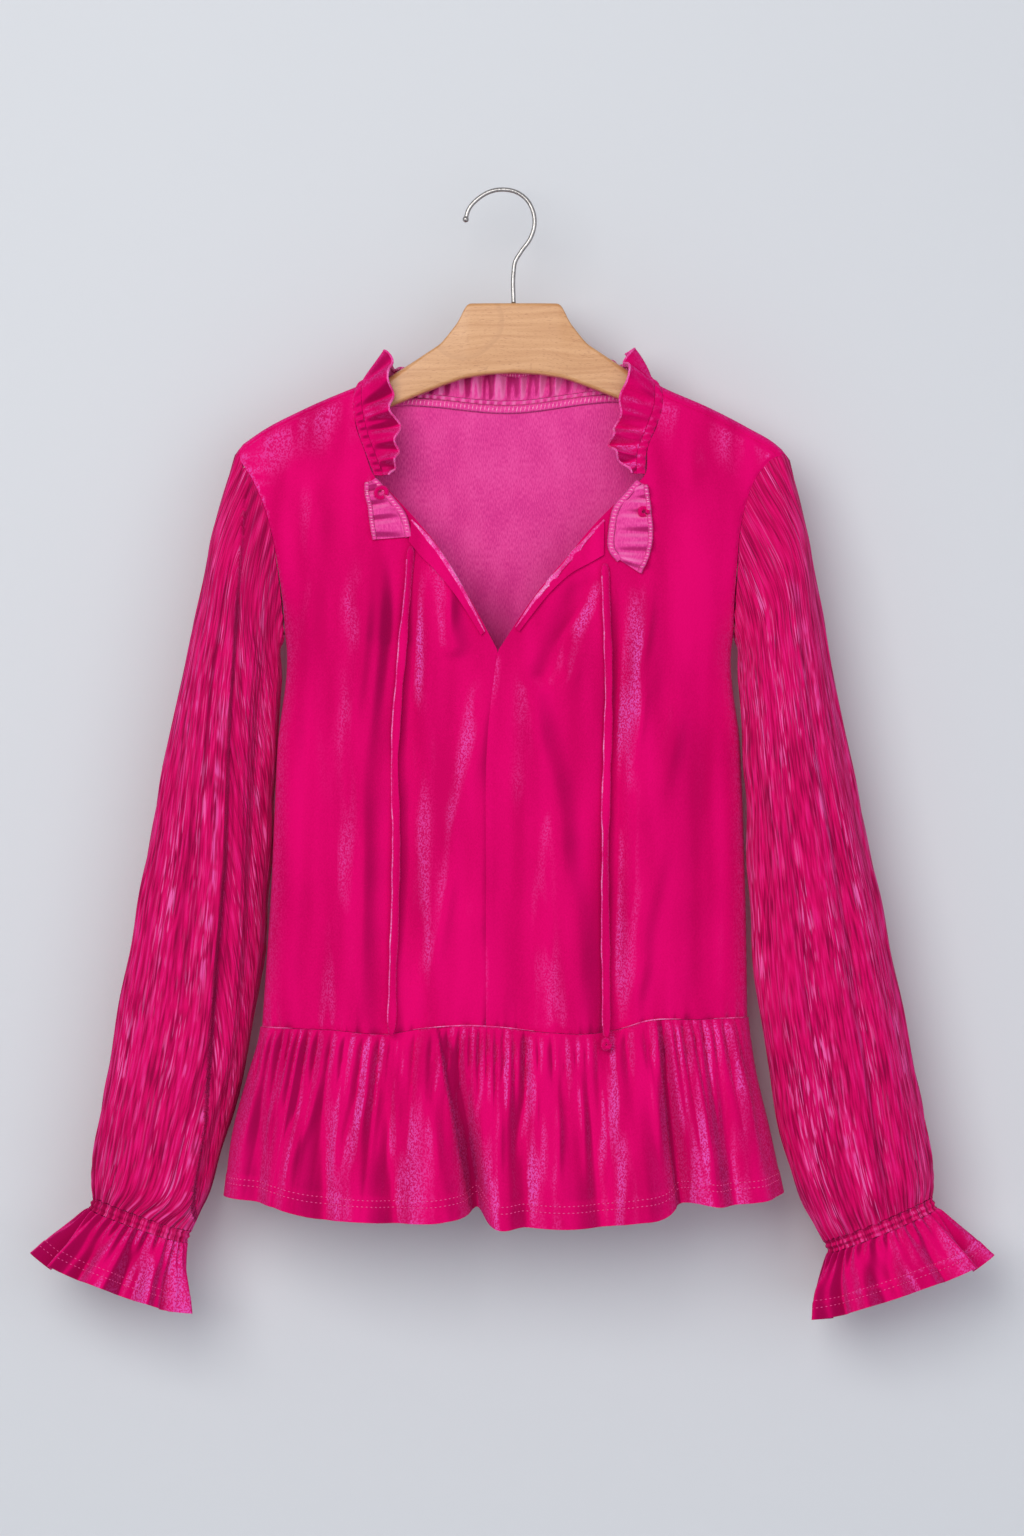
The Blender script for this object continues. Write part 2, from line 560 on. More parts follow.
def creases(x, z, rows):
    """Sum of short creases: a bell across each line, tapering to nothing at its two ends."""
    total = np.zeros(np.broadcast(x, z).shape)
    for ax, az, bx, bz, height, width in zip(*rows.values()):
        long = math.hypot(bx - ax, bz - az)
        ux, uz = (bx - ax) / long, (bz - az) / long
        along = ((x - ax) * ux + (z - az) * uz) / long
        off = (x - ax) * uz - (z - az) * ux + 3 * np.sin(along * 5)
        total += height * np.sin(np.pi * np.clip(along, 0, 1)) ** 1.5 * bell(off, width)
    return total


def panel_edge(z, hand):
    """x of the armhole seam above the underarm, and of the side seam below it."""
    arm = np.interp(z, ARM_FRONT[hand + "_z"][::-1], ARM_FRONT[hand + "_x"][::-1])
    return np.where(z > UNDERARM, arm, look_up(BODY, "z", hand, z))


def seam_fade(x, z):
    """0 at the armholes, side seams and shoulder ridge, and 1 away from them."""
    room = np.minimum(x - panel_edge(z, "left"), panel_edge(z, "right") - x)
    return ease((room - 3) / 22) * ease((ridge(x) - z - ROOF_RADIUS) / 40)


def body_height(x, z, side):
    """How far the folds and creases raise the body's face from its skin, 0 at its seams."""
    rows, small = (FRONT_FOLDS, FRONT_CREASES) if side < 0 else (BACK_FOLDS, BACK_CREASES)
    out = folds(x, z, rows) + creases(x, z, small) + 0.3 * uneven(x, z, 46)
    return out * seam_fade(x, z)


def body_face(x, z, side):
    """Points on the body's folded outer face, and the skin's normals there."""
    point, normal = skin(x, z, side)
    return point + normal * body_height(x, z, side)[..., None], normal


def ledges(x, z, rows):
    """Fold edges that lie over a valley: right of a slanted line the cloth drops at once.

    The drop goes back to nothing over the row's width, and tapers at the line's two ends.
    """
    total = np.zeros(np.broadcast(x, z).shape)
    for ax, az, bx, bz, drop, width in zip(*rows.values()):
        down = (az - z) / (az - bz)
        off = x - (ax + (bx - ax) * np.clip(down, 0, 1.2))
        ends = ease((down + 0.1) / 0.3) * ease((1.3 - down) / 0.2)
        total -= drop * ends * ease(off / 2.2 + 0.5) * np.exp(-(np.maximum(off, 0) / width) ** 4)
    return total


def armhole(hand):
    """The armhole seam in two runs of points and normals, front and back."""
    turn = SEAM_TURN[hand]
    seam_point, seam_normal = over_point(SEAM_END[hand], -turn * ROOF_RADIUS)
    runs = []
    for side, rows in ((-1, ARM_FRONT), (1, ARM_BACK)):
        point, normal = skin(rows[hand + "_x"], rows[hand + "_z"], side)
        point[-1, 1] = 0
        normal[-1, 1] = 0
        runs.append((point, unit(normal)))
    over = ROOF_RADIUS * np.array([-turn / 2, 0, *RIDGE_TURNS])
    roof_x = [(SEAM_END[hand] + TIP[hand]) / 2, TIP[hand], *RIDGE_BACK[hand]]
    roof_point, roof_normal = over_point(roof_x, over)
    front_run = (np.vstack([seam_point, runs[0][0]]), np.vstack([seam_normal, runs[0][1]]))
    back_run = (np.vstack([seam_point, roof_point, runs[1][0]]),
                np.vstack([seam_normal, roof_normal, runs[1][1]]))
    return front_run, back_run


NECK_LENGTH = run_of(over_point(NECK["x"], NECK["over"])[0])


def neck_at(place):
    """x and distance over the ridge at a place along the neck's seam."""
    return smooth(NECK_LENGTH, NECK["x"], place), smooth(NECK_LENGTH, NECK["over"], place)


def neck_corners():
    """Places on the neck's seam where the two shoulder seams meet it."""
    places = np.linspace(0, NECK_LENGTH[-1], 4000)
    over = neck_at(places)[1]
    left = places[np.argmax(over > -SEAM_TURN["left"] * ROOF_RADIUS)]
    right = places[len(places) - 1 - np.argmax(over[::-1] > -SEAM_TURN["right"] * ROOF_RADIUS)]
    return left, right


# Meshes

def add_mesh(name, points, faces, materials):
    """A smooth mesh object at the origin from points in millimetres, riding on the root body."""
    mesh = bpy.data.meshes.new(name)
    mesh.from_pydata((points * MM).tolist(), [], faces)
    mesh.update()
    mesh.shade_smooth()
    for material in materials:
        mesh.materials.append(material)
    made = bpy.data.objects.new(name, mesh)
    bpy.context.scene.collection.objects.link(made)
    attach(made, "root")
    return made


def new_piece(name, points, quads, uv, index, materials):
    """A closed piece of quads facing outward, with its cloth's UV map and material numbers."""
    a, b, c, d = (points[quads[:, k]] for k in range(4))
    if np.einsum("ij,ij->", a, np.cross(b, c) + np.cross(c, d)) < 0:
        quads, uv = quads[:, ::-1], uv[:, ::-1]
    made = add_mesh(name, points, quads.tolist(), materials)
    uv_map = made.data.uv_layers.new(name="cloth")
    uv_map.data.foreach_set("uv", (uv * MM).ravel().astype(np.float32))
    made.data.polygons.foreach_set("material_index", index.astype(np.int32))
    made.data.set_sharp_from_angle(angle=math.radians(SHARP_DEGREES))
    return made


def mark_lean(made, outer, relief, hollow, around):
    """Store how far each fold turns to the key light: the attribute lean of the cloth's points.

    It is the slope of the relief along the grid's rows and columns, each times the cosine
    between that direction and the light's in the picture's plane, less the share of light
    that a hollow loses. Both faces of the wall get the same.
    """
    if around:
        across = tuple(np.roll(grid, -1, 1) - np.roll(grid, 1, 1) for grid in (relief, outer))
    else:
        across = (np.gradient(relief, axis=1), np.gradient(outer, axis=1))
    lean = 0 * relief - hollow
    for rise, way in (across, (np.gradient(relief, axis=0), np.gradient(outer, axis=0))):
        long = np.maximum(np.linalg.norm(way, axis=-1), LEAST_STEP)
        lean = lean - LEAN_GAIN * rise * (way[..., [0, 2]] @ LIGHT_WAY) / long**2
    lean = np.clip(lean, -1.0, 1.0).ravel()
    stored = made.data.attributes.new("lean", "FLOAT", "POINT")
    stored.data.foreach_set("value", np.concatenate([lean, lean]).astype(np.float32))


def grid_quads(number):
    """Quads between neighbouring rows and columns of a table of point numbers."""
    return np.stack([number[:-1, :-1], number[:-1, 1:], number[1:, 1:], number[1:, :-1]], -1).reshape(-1, 4)


def wall(name, outer, inner, place, materials, relief, hollow=0.0, around=False):
    """A closed thin wall between two grids of points, [row, column, xyz].

    Relief is the height of its folds, for the lean that the velvet's pile shows, and hollow
    the share of light lost in the deepest ones.

    Place is each point's position on the flat cloth in millimetres, for its texture. It has
    one column more than the grid where the wall goes all round.
    """
    rows, columns = outer.shape[:2]
    number = np.arange(rows * columns).reshape(rows, columns)
    if around:
        number = closed(number)
    count = rows * columns
    at = np.arange(place.shape[0] * place.shape[1]).reshape(place.shape[:2])
    sheet, cloth = grid_quads(number), grid_quads(at)
    quads, texture, index = [sheet, sheet[:, ::-1] + count], [cloth, cloth[:, ::-1]], [0, 1]
    rims = [(number[:1], at[:1]), (number[-1:, ::-1], at[-1:, ::-1])]
    if not around:
        rims += [(number[::-1, :1].T, at[::-1, :1].T), (number[:, -1:].T, at[:, -1:].T)]
    for edge, spot in rims:
        quads.append(grid_quads(np.concatenate([edge + count, edge])))
        texture.append(grid_quads(np.concatenate([spot, spot])))
        index.append(0)
    index = np.concatenate([np.full(len(q), k) for q, k in zip(quads, index)])
    quads, texture = np.concatenate(quads), np.concatenate(texture)
    points = np.concatenate([outer.reshape(-1, 3), inner.reshape(-1, 3)])
    made = new_piece(name, points, quads, place.reshape(-1, 2)[texture], index, materials)
    mark_lean(made, outer, relief, hollow, around)
    return made


def cloth_place(grid, around=False):
    """Distances across and down a grid, from its mean row and column lengths."""
    if around:
        grid = closed(grid)
    across = np.linalg.norm(np.diff(grid, axis=1), axis=-1)
    down = np.linalg.norm(np.diff(grid, axis=0), axis=-1)
    u = added_up(across.mean(0))
    v = added_up(down.mean(1))
    return np.stack(np.broadcast_arrays(u[None, :], v[:, None]), -1)


def tube(name, line, half_wide, half_thick, wide_way, material, sides=10):
    """A closed tube of oval section along a line; wide_way is the section's wide direction."""
    tangent = unit(np.gradient(line, axis=0))
    other = unit(np.cross(tangent, wide_way))
    wide = unit(np.cross(other, tangent))
    turn = np.arange(sides) / sides * 2 * np.pi
    half_wide, half_thick = (np.broadcast_to(v, len(line))[:, None, None] for v in (half_wide, half_thick))
    ring = (np.cos(turn)[:, None] * wide[:, None] * half_wide
            + np.sin(turn)[:, None] * other[:, None] * half_thick)
    grid = line[:, None] + ring
    number = closed(np.arange(grid.shape[0] * sides).reshape(-1, sides))
    ends = len(grid) * sides
    points = np.vstack([grid.reshape(-1, 3), line[:1], line[-1:]])
    quads = grid_quads(number)
    caps = [np.stack([number[row, :-1], number[row, 1:], np.full(sides, end)], -1)[:, ::way]
            for row, end, way in ((0, ends, -1), (-1, ends + 1, 1))]
    a, b, c = (points[quads[:, k]] for k in range(3))
    turned = np.einsum("ij,ij->", a - line.mean(0), np.cross(b - a, c - a)) < 0
    faces = [*quads.tolist(), *caps[0].tolist(), *caps[1].tolist()]
    if turned:
        faces = [face[::-1] for face in faces]
    made = add_mesh(name, points, faces, (material,))
    along = run_of(line)
    round_it = np.concatenate([np.tile(np.arange(sides) / sides, len(line)), [0, 0]])
    spot = np.stack([round_it * 12, np.concatenate([np.repeat(along, sides), [0, along[-1]]])], -1)
    corner = np.empty(len(made.data.loops), np.int32)
    made.data.loops.foreach_get("vertex_index", corner)
    uv_map = made.data.uv_layers.new(name="cloth")
    uv_map.data.foreach_set("uv", (spot[corner] * MM).ravel().astype(np.float32))
    return made


def stitches(name, line, outwards):
    """A row of stitches: at each pitch along the line a slim eight-sided spindle, half sunk."""
    along = run_of(line)
    start = np.arange(STITCH_PITCH / 2, along[-1] - STITCH_LONG, STITCH_PITCH)

    def at(place, values):
        return np.stack([np.interp(place, along, values[:, k]) for k in range(3)], -1)

    a, b, out = at(start, line), at(start + STITCH_LONG, line), unit(at(start + STITCH_LONG / 2, outwards))
    side = unit(np.cross(b - a, out)) * THREAD_RADIUS
    up, middle = out * THREAD_RADIUS, (a + b) / 2
    points = np.stack([a, b, middle + side, middle + up, middle - side, middle - up], 1).reshape(-1, 3)
    return spindles(name, points, middle, finish("thread"))


def spindles(name, points, middle, material):
    """Eight-sided spindles in one mesh: two tips and four points round each one's middle."""
    shape = np.array([[0, 2, 3], [0, 3, 4], [0, 4, 5], [0, 5, 2],
                      [1, 3, 2], [1, 4, 3], [1, 5, 4], [1, 2, 5]])
    faces = (shape[None] + 6 * np.arange(len(middle))[:, None, None]).reshape(-1, 3)
    p, q, r = (points[faces[:, k]] for k in range(3))
    centre = np.repeat(middle, 8, 0)
    if np.einsum("ij,ij->", p - centre, np.cross(q - p, r - p)) < 0:
        faces = faces[:, ::-1]
    return add_mesh(name, points, faces.tolist(), (material,))


def over_edge(name, line, across, half_wide, pitch):
    """An overlocked edge: the cloth's flat rolled edge, and a loop of thread over it at each pitch.

    Across is the way over the edge. Each loop is a slim spindle at a slight slant to it.
    """
    across = unit(np.broadcast_to(across, line.shape))
    base = tube(name, line, half_wide, 0.5, across, finish("backing"), sides=6)
    along = run_of(line)
    place = np.arange(pitch, along[-1] - pitch, pitch)
    middle = smooth(along, line, place)
    ahead = smooth(along, unit(np.gradient(line, axis=0)), place)
    way = unit(smooth(along, across, place) + LOOP_SLANT * unit(ahead))
    out = unit(np.cross(way, ahead))
    half = (np.interp(place, along, np.broadcast_to(half_wide, len(line))) + LOOP_OVERHANG)[:, None]
    a, b = middle - way * half, middle + way * half
    side = unit(np.cross(b - a, out)) * LOOP_HALF_WIDE
    ridge_up = out * LOOP_RISE
    points = np.stack([a, b, middle + side, middle + ridge_up, middle - side, middle - ridge_up], 1)
    return base, spindles(name + "_loops", points.reshape(-1, 3), middle, finish("overlock"))


# Materials

def linear(hex_colour):
    """An sRGB hex colour as the linear RGBA that a shader reads."""
    values = [int(hex_colour[i:i + 2], 16) / 255 for i in (1, 3, 5)]
    return [v / 12.92 if v <= 0.04045 else ((v + 0.055) / 1.055) ** 2.4 for v in values] + [1.0]


def add_node(tree, kind, settings, **sockets):
    """A node with its settings, and its sockets set to values or linked to other sockets."""
    node = tree.nodes.new(kind)
    for name, value in settings.items():
        setattr(node, name, value)
    for name, value in sockets.items():
        socket = node.inputs[int(name[1:])] if name[0] == "i" and name[1:].isdigit() else node.inputs[name]
        if isinstance(value, bpy.types.NodeSocket):
            tree.links.new(value, socket)
        else:
            socket.default_value = value
    return node


def maths(tree, operation, *values, clamp=False):
    """One step of arithmetic on greys and numbers."""
    inputs = {f"i{k}": value for k, value in enumerate(values)}
    settings = {"operation": operation, "use_clamp": clamp}
    return add_node(tree, "ShaderNodeMath", settings, **inputs).outputs[0]


def start_finish(name, **shader_values):
    """A material and its Principled shader, with the values that are the same all over."""
    material = bpy.data.materials.new(name)
    material.use_nodes = True
    tree = material.node_tree
    shader = tree.nodes["Principled BSDF"]
    for socket, value in shader_values.items():
        shader.inputs[socket.replace("_", " ")].default_value = value
    return material, tree, shader


def place_on(tree, kind):
    """Where a point is in metres: Object in space, or UV on the piece's flat cloth."""
    return add_node(tree, "ShaderNodeTexCoord", {}).outputs[kind]


def turned_to_light(tree):
    """The cloth's lean towards the key light, and its lean away from it."""
    lean = add_node(tree, "ShaderNodeAttribute", {"attribute_name": "lean"}).outputs["Fac"]
    return lean, maths(tree, "MULTIPLY", lean, -1.0)


def add_bump(tree, shader, height, strength, distance):
    """A bump from a height, linked to the shader; gives its normal."""
    bump = add_node(tree, "ShaderNodeBump", {}, Height=height, Strength=strength, Distance=distance)
    tree.links.new(bump.outputs[0], shader.inputs["Normal"])
    return bump.outputs[0]


def stretched_noise(tree, vector, cells_mm, detail):
    """Noise whose cells measure cells_mm along the three axes of a vector in metres."""
    scale = [1 / (c * MM) for c in cells_mm]
    mapped = add_node(tree, "ShaderNodeMapping", {}, Vector=vector, Scale=scale)
    noise = add_node(tree, "ShaderNodeTexNoise", {}, Vector=mapped.outputs[0], Scale=1.0, Detail=detail)
    return noise.outputs[0]


def ramp(tree, factor, *stops):
    """A colour ramp over a factor; each stop is a position and a hex colour."""
    node = add_node(tree, "ShaderNodeValToRGB", {}, Fac=factor)
    points = node.color_ramp.elements
    points[0].position, points[0].color = stops[0][0], linear(stops[0][1])
    points[1].position, points[1].color = stops[-1][0], linear(stops[-1][1])
    for position, colour in stops[1:-1]:
        points.new(position).color = linear(colour)
    return node.outputs[0]


def mix_values(tree, a, b, share):
    """a x (1 - share) + b x share, for two greys."""
    return maths(tree, "MULTIPLY_ADD", b, share, maths(tree, "MULTIPLY", a, 1 - share))


def soft_step(tree, value, low, high, top=1.0):
    """0 below low, top above high and a smooth climb between them."""
    return add_node(tree, "ShaderNodeMapRange", {"interpolation_type": "SMOOTHSTEP"}, Value=value,
                    i1=low, i2=high, i3=0.0, i4=top).outputs[0]


def times(tree, a, b):
    """a x b, for two greys."""
    return maths(tree, "MULTIPLY", a, b, clamp=True)


def blend(tree, share, a, b, way="MIX"):
    """Colour a going to colour b by a share; b may be a hex colour."""
    b = linear(b) if isinstance(b, str) else b
    return add_node(tree, "ShaderNodeMix", {"data_type": "RGBA", "blend_type": way}, i0=share, i6=a,
                    i7=b).outputs[2]


def pile_shade(tree, colour, normal, grain, where, glow, dark, turn_from=0.12, most=0.9):
    """A pile's colour on its folds: darker where it turns away from the key light, and a paler
    violet pink, in specks, where it turns to the light or is seen from its side.

    The lean of the cloth's points gives the turn; long soft patches keep the glow uneven.
    """
    lean, away = turned_to_light(tree)
    shaded = blend(tree, soft_step(tree, away, 0.08, 0.7, 0.85), colour, dark)
    side = add_node(tree, "ShaderNodeLayerWeight", {}, Blend=0.5, Normal=normal).outputs["Facing"]
    patch = soft_step(tree, stretched_noise(tree, where, (14, 14, 80), 1.0), 0.36, 0.62)
    turned = times(tree, soft_step(tree, lean, turn_from, turn_from + 0.4, most), patch)
    seen = soft_step(tree, side, 0.12, 0.6, 0.35)
    both = maths(tree, "MAXIMUM", turned, seen)
    speck = add_node(tree, "ShaderNodeMapRange", {}, Value=grain, i1=0.46, i2=0.56, i3=0.1, i4=1.0)
    return blend(tree, times(tree, both, speck.outputs[0]), shaded, glow)


def cut_velvet(sheen_weight, sheen_tint):
    """Polyester stretch velvet: dense short pile, deep magenta face on and violet from its side.

    The pile leans in long soft streaks about 20 mm wide and sparkles in grains of about 1 mm.
    """
    material, tree, shader = start_finish(
        "stretch_velvet", Roughness=0.8, Specular_IOR_Level=0.04, Sheen_Weight=sheen_weight,
        Sheen_Roughness=0.3, Sheen_Tint=sheen_tint)
    where = place_on(tree, "Object")
    streak = stretched_noise(tree, where, (20, 20, 120), 1.0)
    grain = stretched_noise(tree, where, (1.1, 1.1, 1.4), 2.0)
    tone = mix_values(tree, streak, grain, 0.3)
    colour = ramp(tree, tone, (0.36, "#C40058"), (0.5, "#D20161"), (0.64, "#DC0268"))
    normal = add_bump(tree, shader, grain, 0.4, 0.0005)
    shaded = pile_shade(tree, colour, normal, grain, where, "#DE54B4", "#8E0242")
    tree.links.new(shaded, shader.inputs["Base Color"])
    return material


def crinkled_velvet(sheen_weight, sheen_tint):
    """Velvet set in fine crinkles down the sleeve: ribs about 2 mm apart, broken every 30 mm.

    Ridges catch the light and show the pile's bright tips in dashes, troughs are dark.
    """
    material, tree, shader = start_finish(
        "crinkled_velvet", Roughness=0.7, Specular_IOR_Level=0.06, Sheen_Weight=sheen_weight,
        Sheen_Roughness=0.3, Sheen_Tint=sheen_tint)
    where = place_on(tree, "UV")
    rib = stretched_noise(tree, where, (1.5, 24, 30), 1.0)
    broad = stretched_noise(tree, where, (6, 70, 30), 1.0)
    height = mix_values(tree, rib, broad, 0.35)
    colour = ramp(tree, height, (0.36, "#92003F"), (0.45, "#BA0251"), (0.55, "#D2035F"), (0.66, "#DD1874"))
    lit = soft_step(tree, stretched_noise(tree, where, (14, 170, 30), 1.0), 0.45, 0.65, 0.85)
    dash = soft_step(tree, stretched_noise(tree, where, (1.2, 24, 30), 1.0), 0.54, 0.64)
    colour = blend(tree, times(tree, lit, dash), colour, "#EE62AE")
    normal = add_bump(tree, shader, height, 1.0, 0.002)
    shaded = pile_shade(tree, colour, normal, rib, where, "#E456AA", "#8A003C", 0.24, 0.75)
    tree.links.new(shaded, shader.inputs["Base Color"])
    return material


def pile_edge():
    """Velvet folded hard over an edge: the pile opens and shows its pale sides in grains."""
    material, tree, shader = start_finish("opened_pile", Roughness=0.8, Specular_IOR_Level=0.1,
                                          Sheen_Weight=0.5, Sheen_Tint=linear("#F8A8DA"))
    where = place_on(tree, "Object")
    grain = stretched_noise(tree, where, (0.9, 0.9, 1.2), 2.0)
    long = stretched_noise(tree, where, (9, 9, 14), 1.0)
    tone = mix_values(tree, grain, long, 0.45)
    colour = ramp(tree, tone, (0.4, "#DE1578"), (0.52, "#EA4CA4"), (0.68, "#F296CC"))
    tree.links.new(colour, shader.inputs["Base Color"])
    add_bump(tree, shader, grain, 0.7, 0.0006)
    return material


def knit_backing():
    """The velvet's wrong side: a matt fine knit, paler pink, wales about 1 mm apart."""
    material, tree, shader = start_finish(
        "knit_backing", Roughness=0.9, Specular_IOR_Level=0.1, Sheen_Weight=0.15,
        Sheen_Roughness=0.6, Sheen_Tint=linear("#F6A0CC"))
    where = place_on(tree, "UV")
    wale = stretched_noise(tree, where, (0.8, 3, 30), 1.0)
    cloud = stretched_noise(tree, where, (18, 30, 30), 2.0)
    tone = mix_values(tree, wale, cloud, 0.35)
    colour = ramp(tree, tone, (0.36, "#D03388"), (0.5, "#DE4092"), (0.64, "#E8509E"))
    lean, away = turned_to_light(tree)
    shaded = blend(tree, soft_step(tree, away, 0.05, 0.5, 0.8), colour, "#A00A5C")
    shaded = blend(tree, soft_step(tree, lean, 0.1, 0.6, 0.6), shaded, "#F48AC4")
    tree.links.new(shaded, shader.inputs["Base Color"])
    add_bump(tree, shader, tone, 0.4, 0.0006)
    return material


def overlock_thread():
    """Three-thread overlock of bulky pink yarn, paler than the cloth and fuzzy at its edges."""
    material, tree, shader = start_finish(
        "overlock_thread", Roughness=0.75, Specular_IOR_Level=0.2, Sheen_Weight=0.2,
        Sheen_Tint=linear("#FFC0E0"))
    where = place_on(tree, "Object")
    fuzz = stretched_noise(tree, where, (1.2, 1.2, 1.2), 2.0)
    colour = ramp(tree, fuzz, (0.36, "#EC62A8"), (0.5, "#F584BC"), (0.64, "#FBACD2"))
    tree.links.new(colour, shader.inputs["Base Color"])
    add_bump(tree, shader, fuzz, 0.6, 0.0006)
    return material


def sewing_thread():
    """Spun polyester sewing thread in the velvet's colour, a little brighter than the pile."""
    return start_finish("sewing_thread", Base_Color=linear("#F04C9C"), Roughness=0.55,
                        Specular_IOR_Level=0.3)[0]


def heart_figure(tree, where):
    """Share of the darker heartwood: one soft ring of growth about a point left of the centre."""
    centre = add_node(tree, "ShaderNodeMapping", {}, Vector=where, Location=(0.72, 0.0, 2.6),
                      Scale=(30, 1, 30))
    flat = add_node(tree, "ShaderNodeVectorMath", {"operation": "MULTIPLY"},
                    i0=centre.outputs[0], i1=(1, 0, 1))
    length = add_node(tree, "ShaderNodeVectorMath", {"operation": "LENGTH"}, i0=flat.outputs[0])
    far = length.outputs["Value"]
    inside = soft_step(tree, far, 0.66, 0.80, 0.55)
    outside = add_node(tree, "ShaderNodeMapRange", {"interpolation_type": "SMOOTHSTEP"}, Value=far,
                       i1=0.80, i2=0.84, i3=1.0, i4=0.0).outputs[0]
    return times(tree, inside, outside)


def lacquered_beech():
    """Flat-sawn beech under clear lacquer: straight grain along the yoke and short dark flecks."""
    material, tree, shader = start_finish("lacquered_beech", Roughness=0.42, Coat_Weight=0.25,
                                          Coat_Roughness=0.25)
    where = place_on(tree, "Object")
    bend = stretched_noise(tree, where, (60, 40, 45), 1.0)
    swayed = add_node(tree, "ShaderNodeVectorMath", {"operation": "MULTIPLY_ADD"},
                      i0=bend, i1=(0.006, 0.004, 0.014), i2=where).outputs[0]
    grain = stretched_noise(tree, swayed, (70, 5, 2.4), 2.0)
    fleck = stretched_noise(tree, swayed, (3.0, 0.8, 0.4), 1.0)
    wood = ramp(tree, grain, (0.3, "#BE8654"), (0.5, "#C6905E"), (0.7, "#CE9968"))
    dark = ramp(tree, fleck, (0.60, "#FFFFFF"), (0.70, "#B98A62"))
    both = blend(tree, 0.45, wood, dark, "MULTIPLY")
    figured = blend(tree, heart_figure(tree, swayed), both, "#B98455")
    tree.links.new(figured, shader.inputs["Base Color"])
    add_bump(tree, shader, grain, 0.12, 0.0004)
    return material


def polished_steel():
    """Nickel-plated steel wire: mirror-like with drawn streaks along it."""
    material, tree, shader = start_finish("plated_steel_wire", Metallic=1.0)
    where = place_on(tree, "Object")
    streak = stretched_noise(tree, where, (1.2, 0.5, 3.0), 2.0)
    tree.links.new(ramp(tree, streak, (0.3, "#8F8B89"), (0.7, "#B9B6B4")), shader.inputs["Base Color"])
    rough = add_node(tree, "ShaderNodeMapRange", {}, Value=streak, i3=0.2, i4=0.38)
    tree.links.new(rough.outputs[0], shader.inputs["Roughness"])
    return material


def one_sided_paint(name, colour):
    """Matt emulsion on the studio's backdrop, even all over.

    It is clear from behind, so the blouse's back can be looked at through the wall.
    """
    material, tree, shader = start_finish(name, Base_Color=[*colour, 1.0], Roughness=0.9,
                                          Specular_IOR_Level=0.1)
    behind = add_node(tree, "ShaderNodeNewGeometry", {}).outputs["Backfacing"]
    clear = add_node(tree, "ShaderNodeBsdfTransparent", {})
    either = add_node(tree, "ShaderNodeMixShader", {}, i0=behind)
    tree.links.new(shader.outputs[0], either.inputs[1])
    tree.links.new(clear.outputs[0], either.inputs[2])
    tree.links.new(either.outputs[0], tree.nodes["Material Output"].inputs["Surface"])
    return material


FINISHES = {}


def finish(name):
    """A shared material by its name, made when it is first asked for."""
    if name not in FINISHES:
        settings = bpy.context.scene.blouse_cloth
        tint = [*settings.sheen_tint, 1.0]
        makers = {
            "velvet": lambda: cut_velvet(settings.sheen, tint),
            "crinkled": lambda: crinkled_velvet(settings.sheen, tint),
            "edge": pile_edge,
            "backing": knit_backing,
            "overlock": overlock_thread,
            "thread": sewing_thread,
            "beech": lacquered_beech,
            "steel": polished_steel,
        }
        FINISHES[name] = makers[name]()
    return FINISHES[name]


def lined(outer="velvet", inner="backing"):
    """The materials of a cloth's outer and inner face."""
    return finish(outer), finish(inner)


# The pieces

def front_grid(hand):
    """x and z of a front panel, straight across each row.

    Rows run from its armhole or side seam to its neck, slit or centre seam.
    """
    sign = -1 if hand == "left" else 1
    slit = SLIT[hand]
    arm = armhole(hand)[0][0]
    corners, end = neck_corners(), NECK_LENGTH[-1]
    start, stop = (corners[0], 0) if hand == "left" else (corners[1], end)
    neck_edge, _ = over_point(*neck_at(np.linspace(start, stop, NECK_FRONT_ROWS + 1)))
    edge = np.vstack([neck_edge[:, [0, 2]], np.stack([slit["x"], slit["z"]], -1)])
    keys = np.arange(len(arm))
    t = np.linspace(0, keys[-1], FRONT_ROWS[0])
    start, stop = smooth(keys, arm[:, [0, 2]], t), smooth(keys, edge, t)
    down = np.linspace(0, 1, FRONT_ROWS[1])[1:]
    side_z = UNDERARM + (look_up(WAIST, "x", "z", sign * 175.0) - UNDERARM) * down
    centre_z = edge[-1, 1] + (WAIST["z"].mean() - edge[-1, 1]) * down
    low_start = np.stack([look_up(BODY, "z", hand, side_z), side_z], -1)
    low_stop = np.stack([look_up(CENTRE_FRONT, "z", "x", centre_z), centre_z], -1)
    start, stop = np.vstack([start, low_start]), np.vstack([stop, low_stop])
    s = (np.linspace(0, 1, FRONT_COLUMNS) ** 1.3)[:, None]
    flat = start[:, None] + (stop - start)[:, None] * s
    x, z = flat[..., 0], flat[..., 1]
    roof = ridge(x[0]) - seam_drop(hand) - z[0]
    z = z + roof * (1 - ease(np.arange(len(x)) / 22))[:, None]
    low = np.zeros((len(x), 1))
    low[FRONT_ROWS[0]:, 0] = down
    last = FRONT_ROWS[0] - 1
    z = np.where(low > 0, z[last] + (look_up(WAIST, "x", "z", x) - z[last]) * low, z)
    return x, z


def seam_drop(hand):
    """How far the shoulder seam lies below the ridge."""
    return ROOF_RADIUS * (1 - math.cos(SEAM_TURN[hand]))


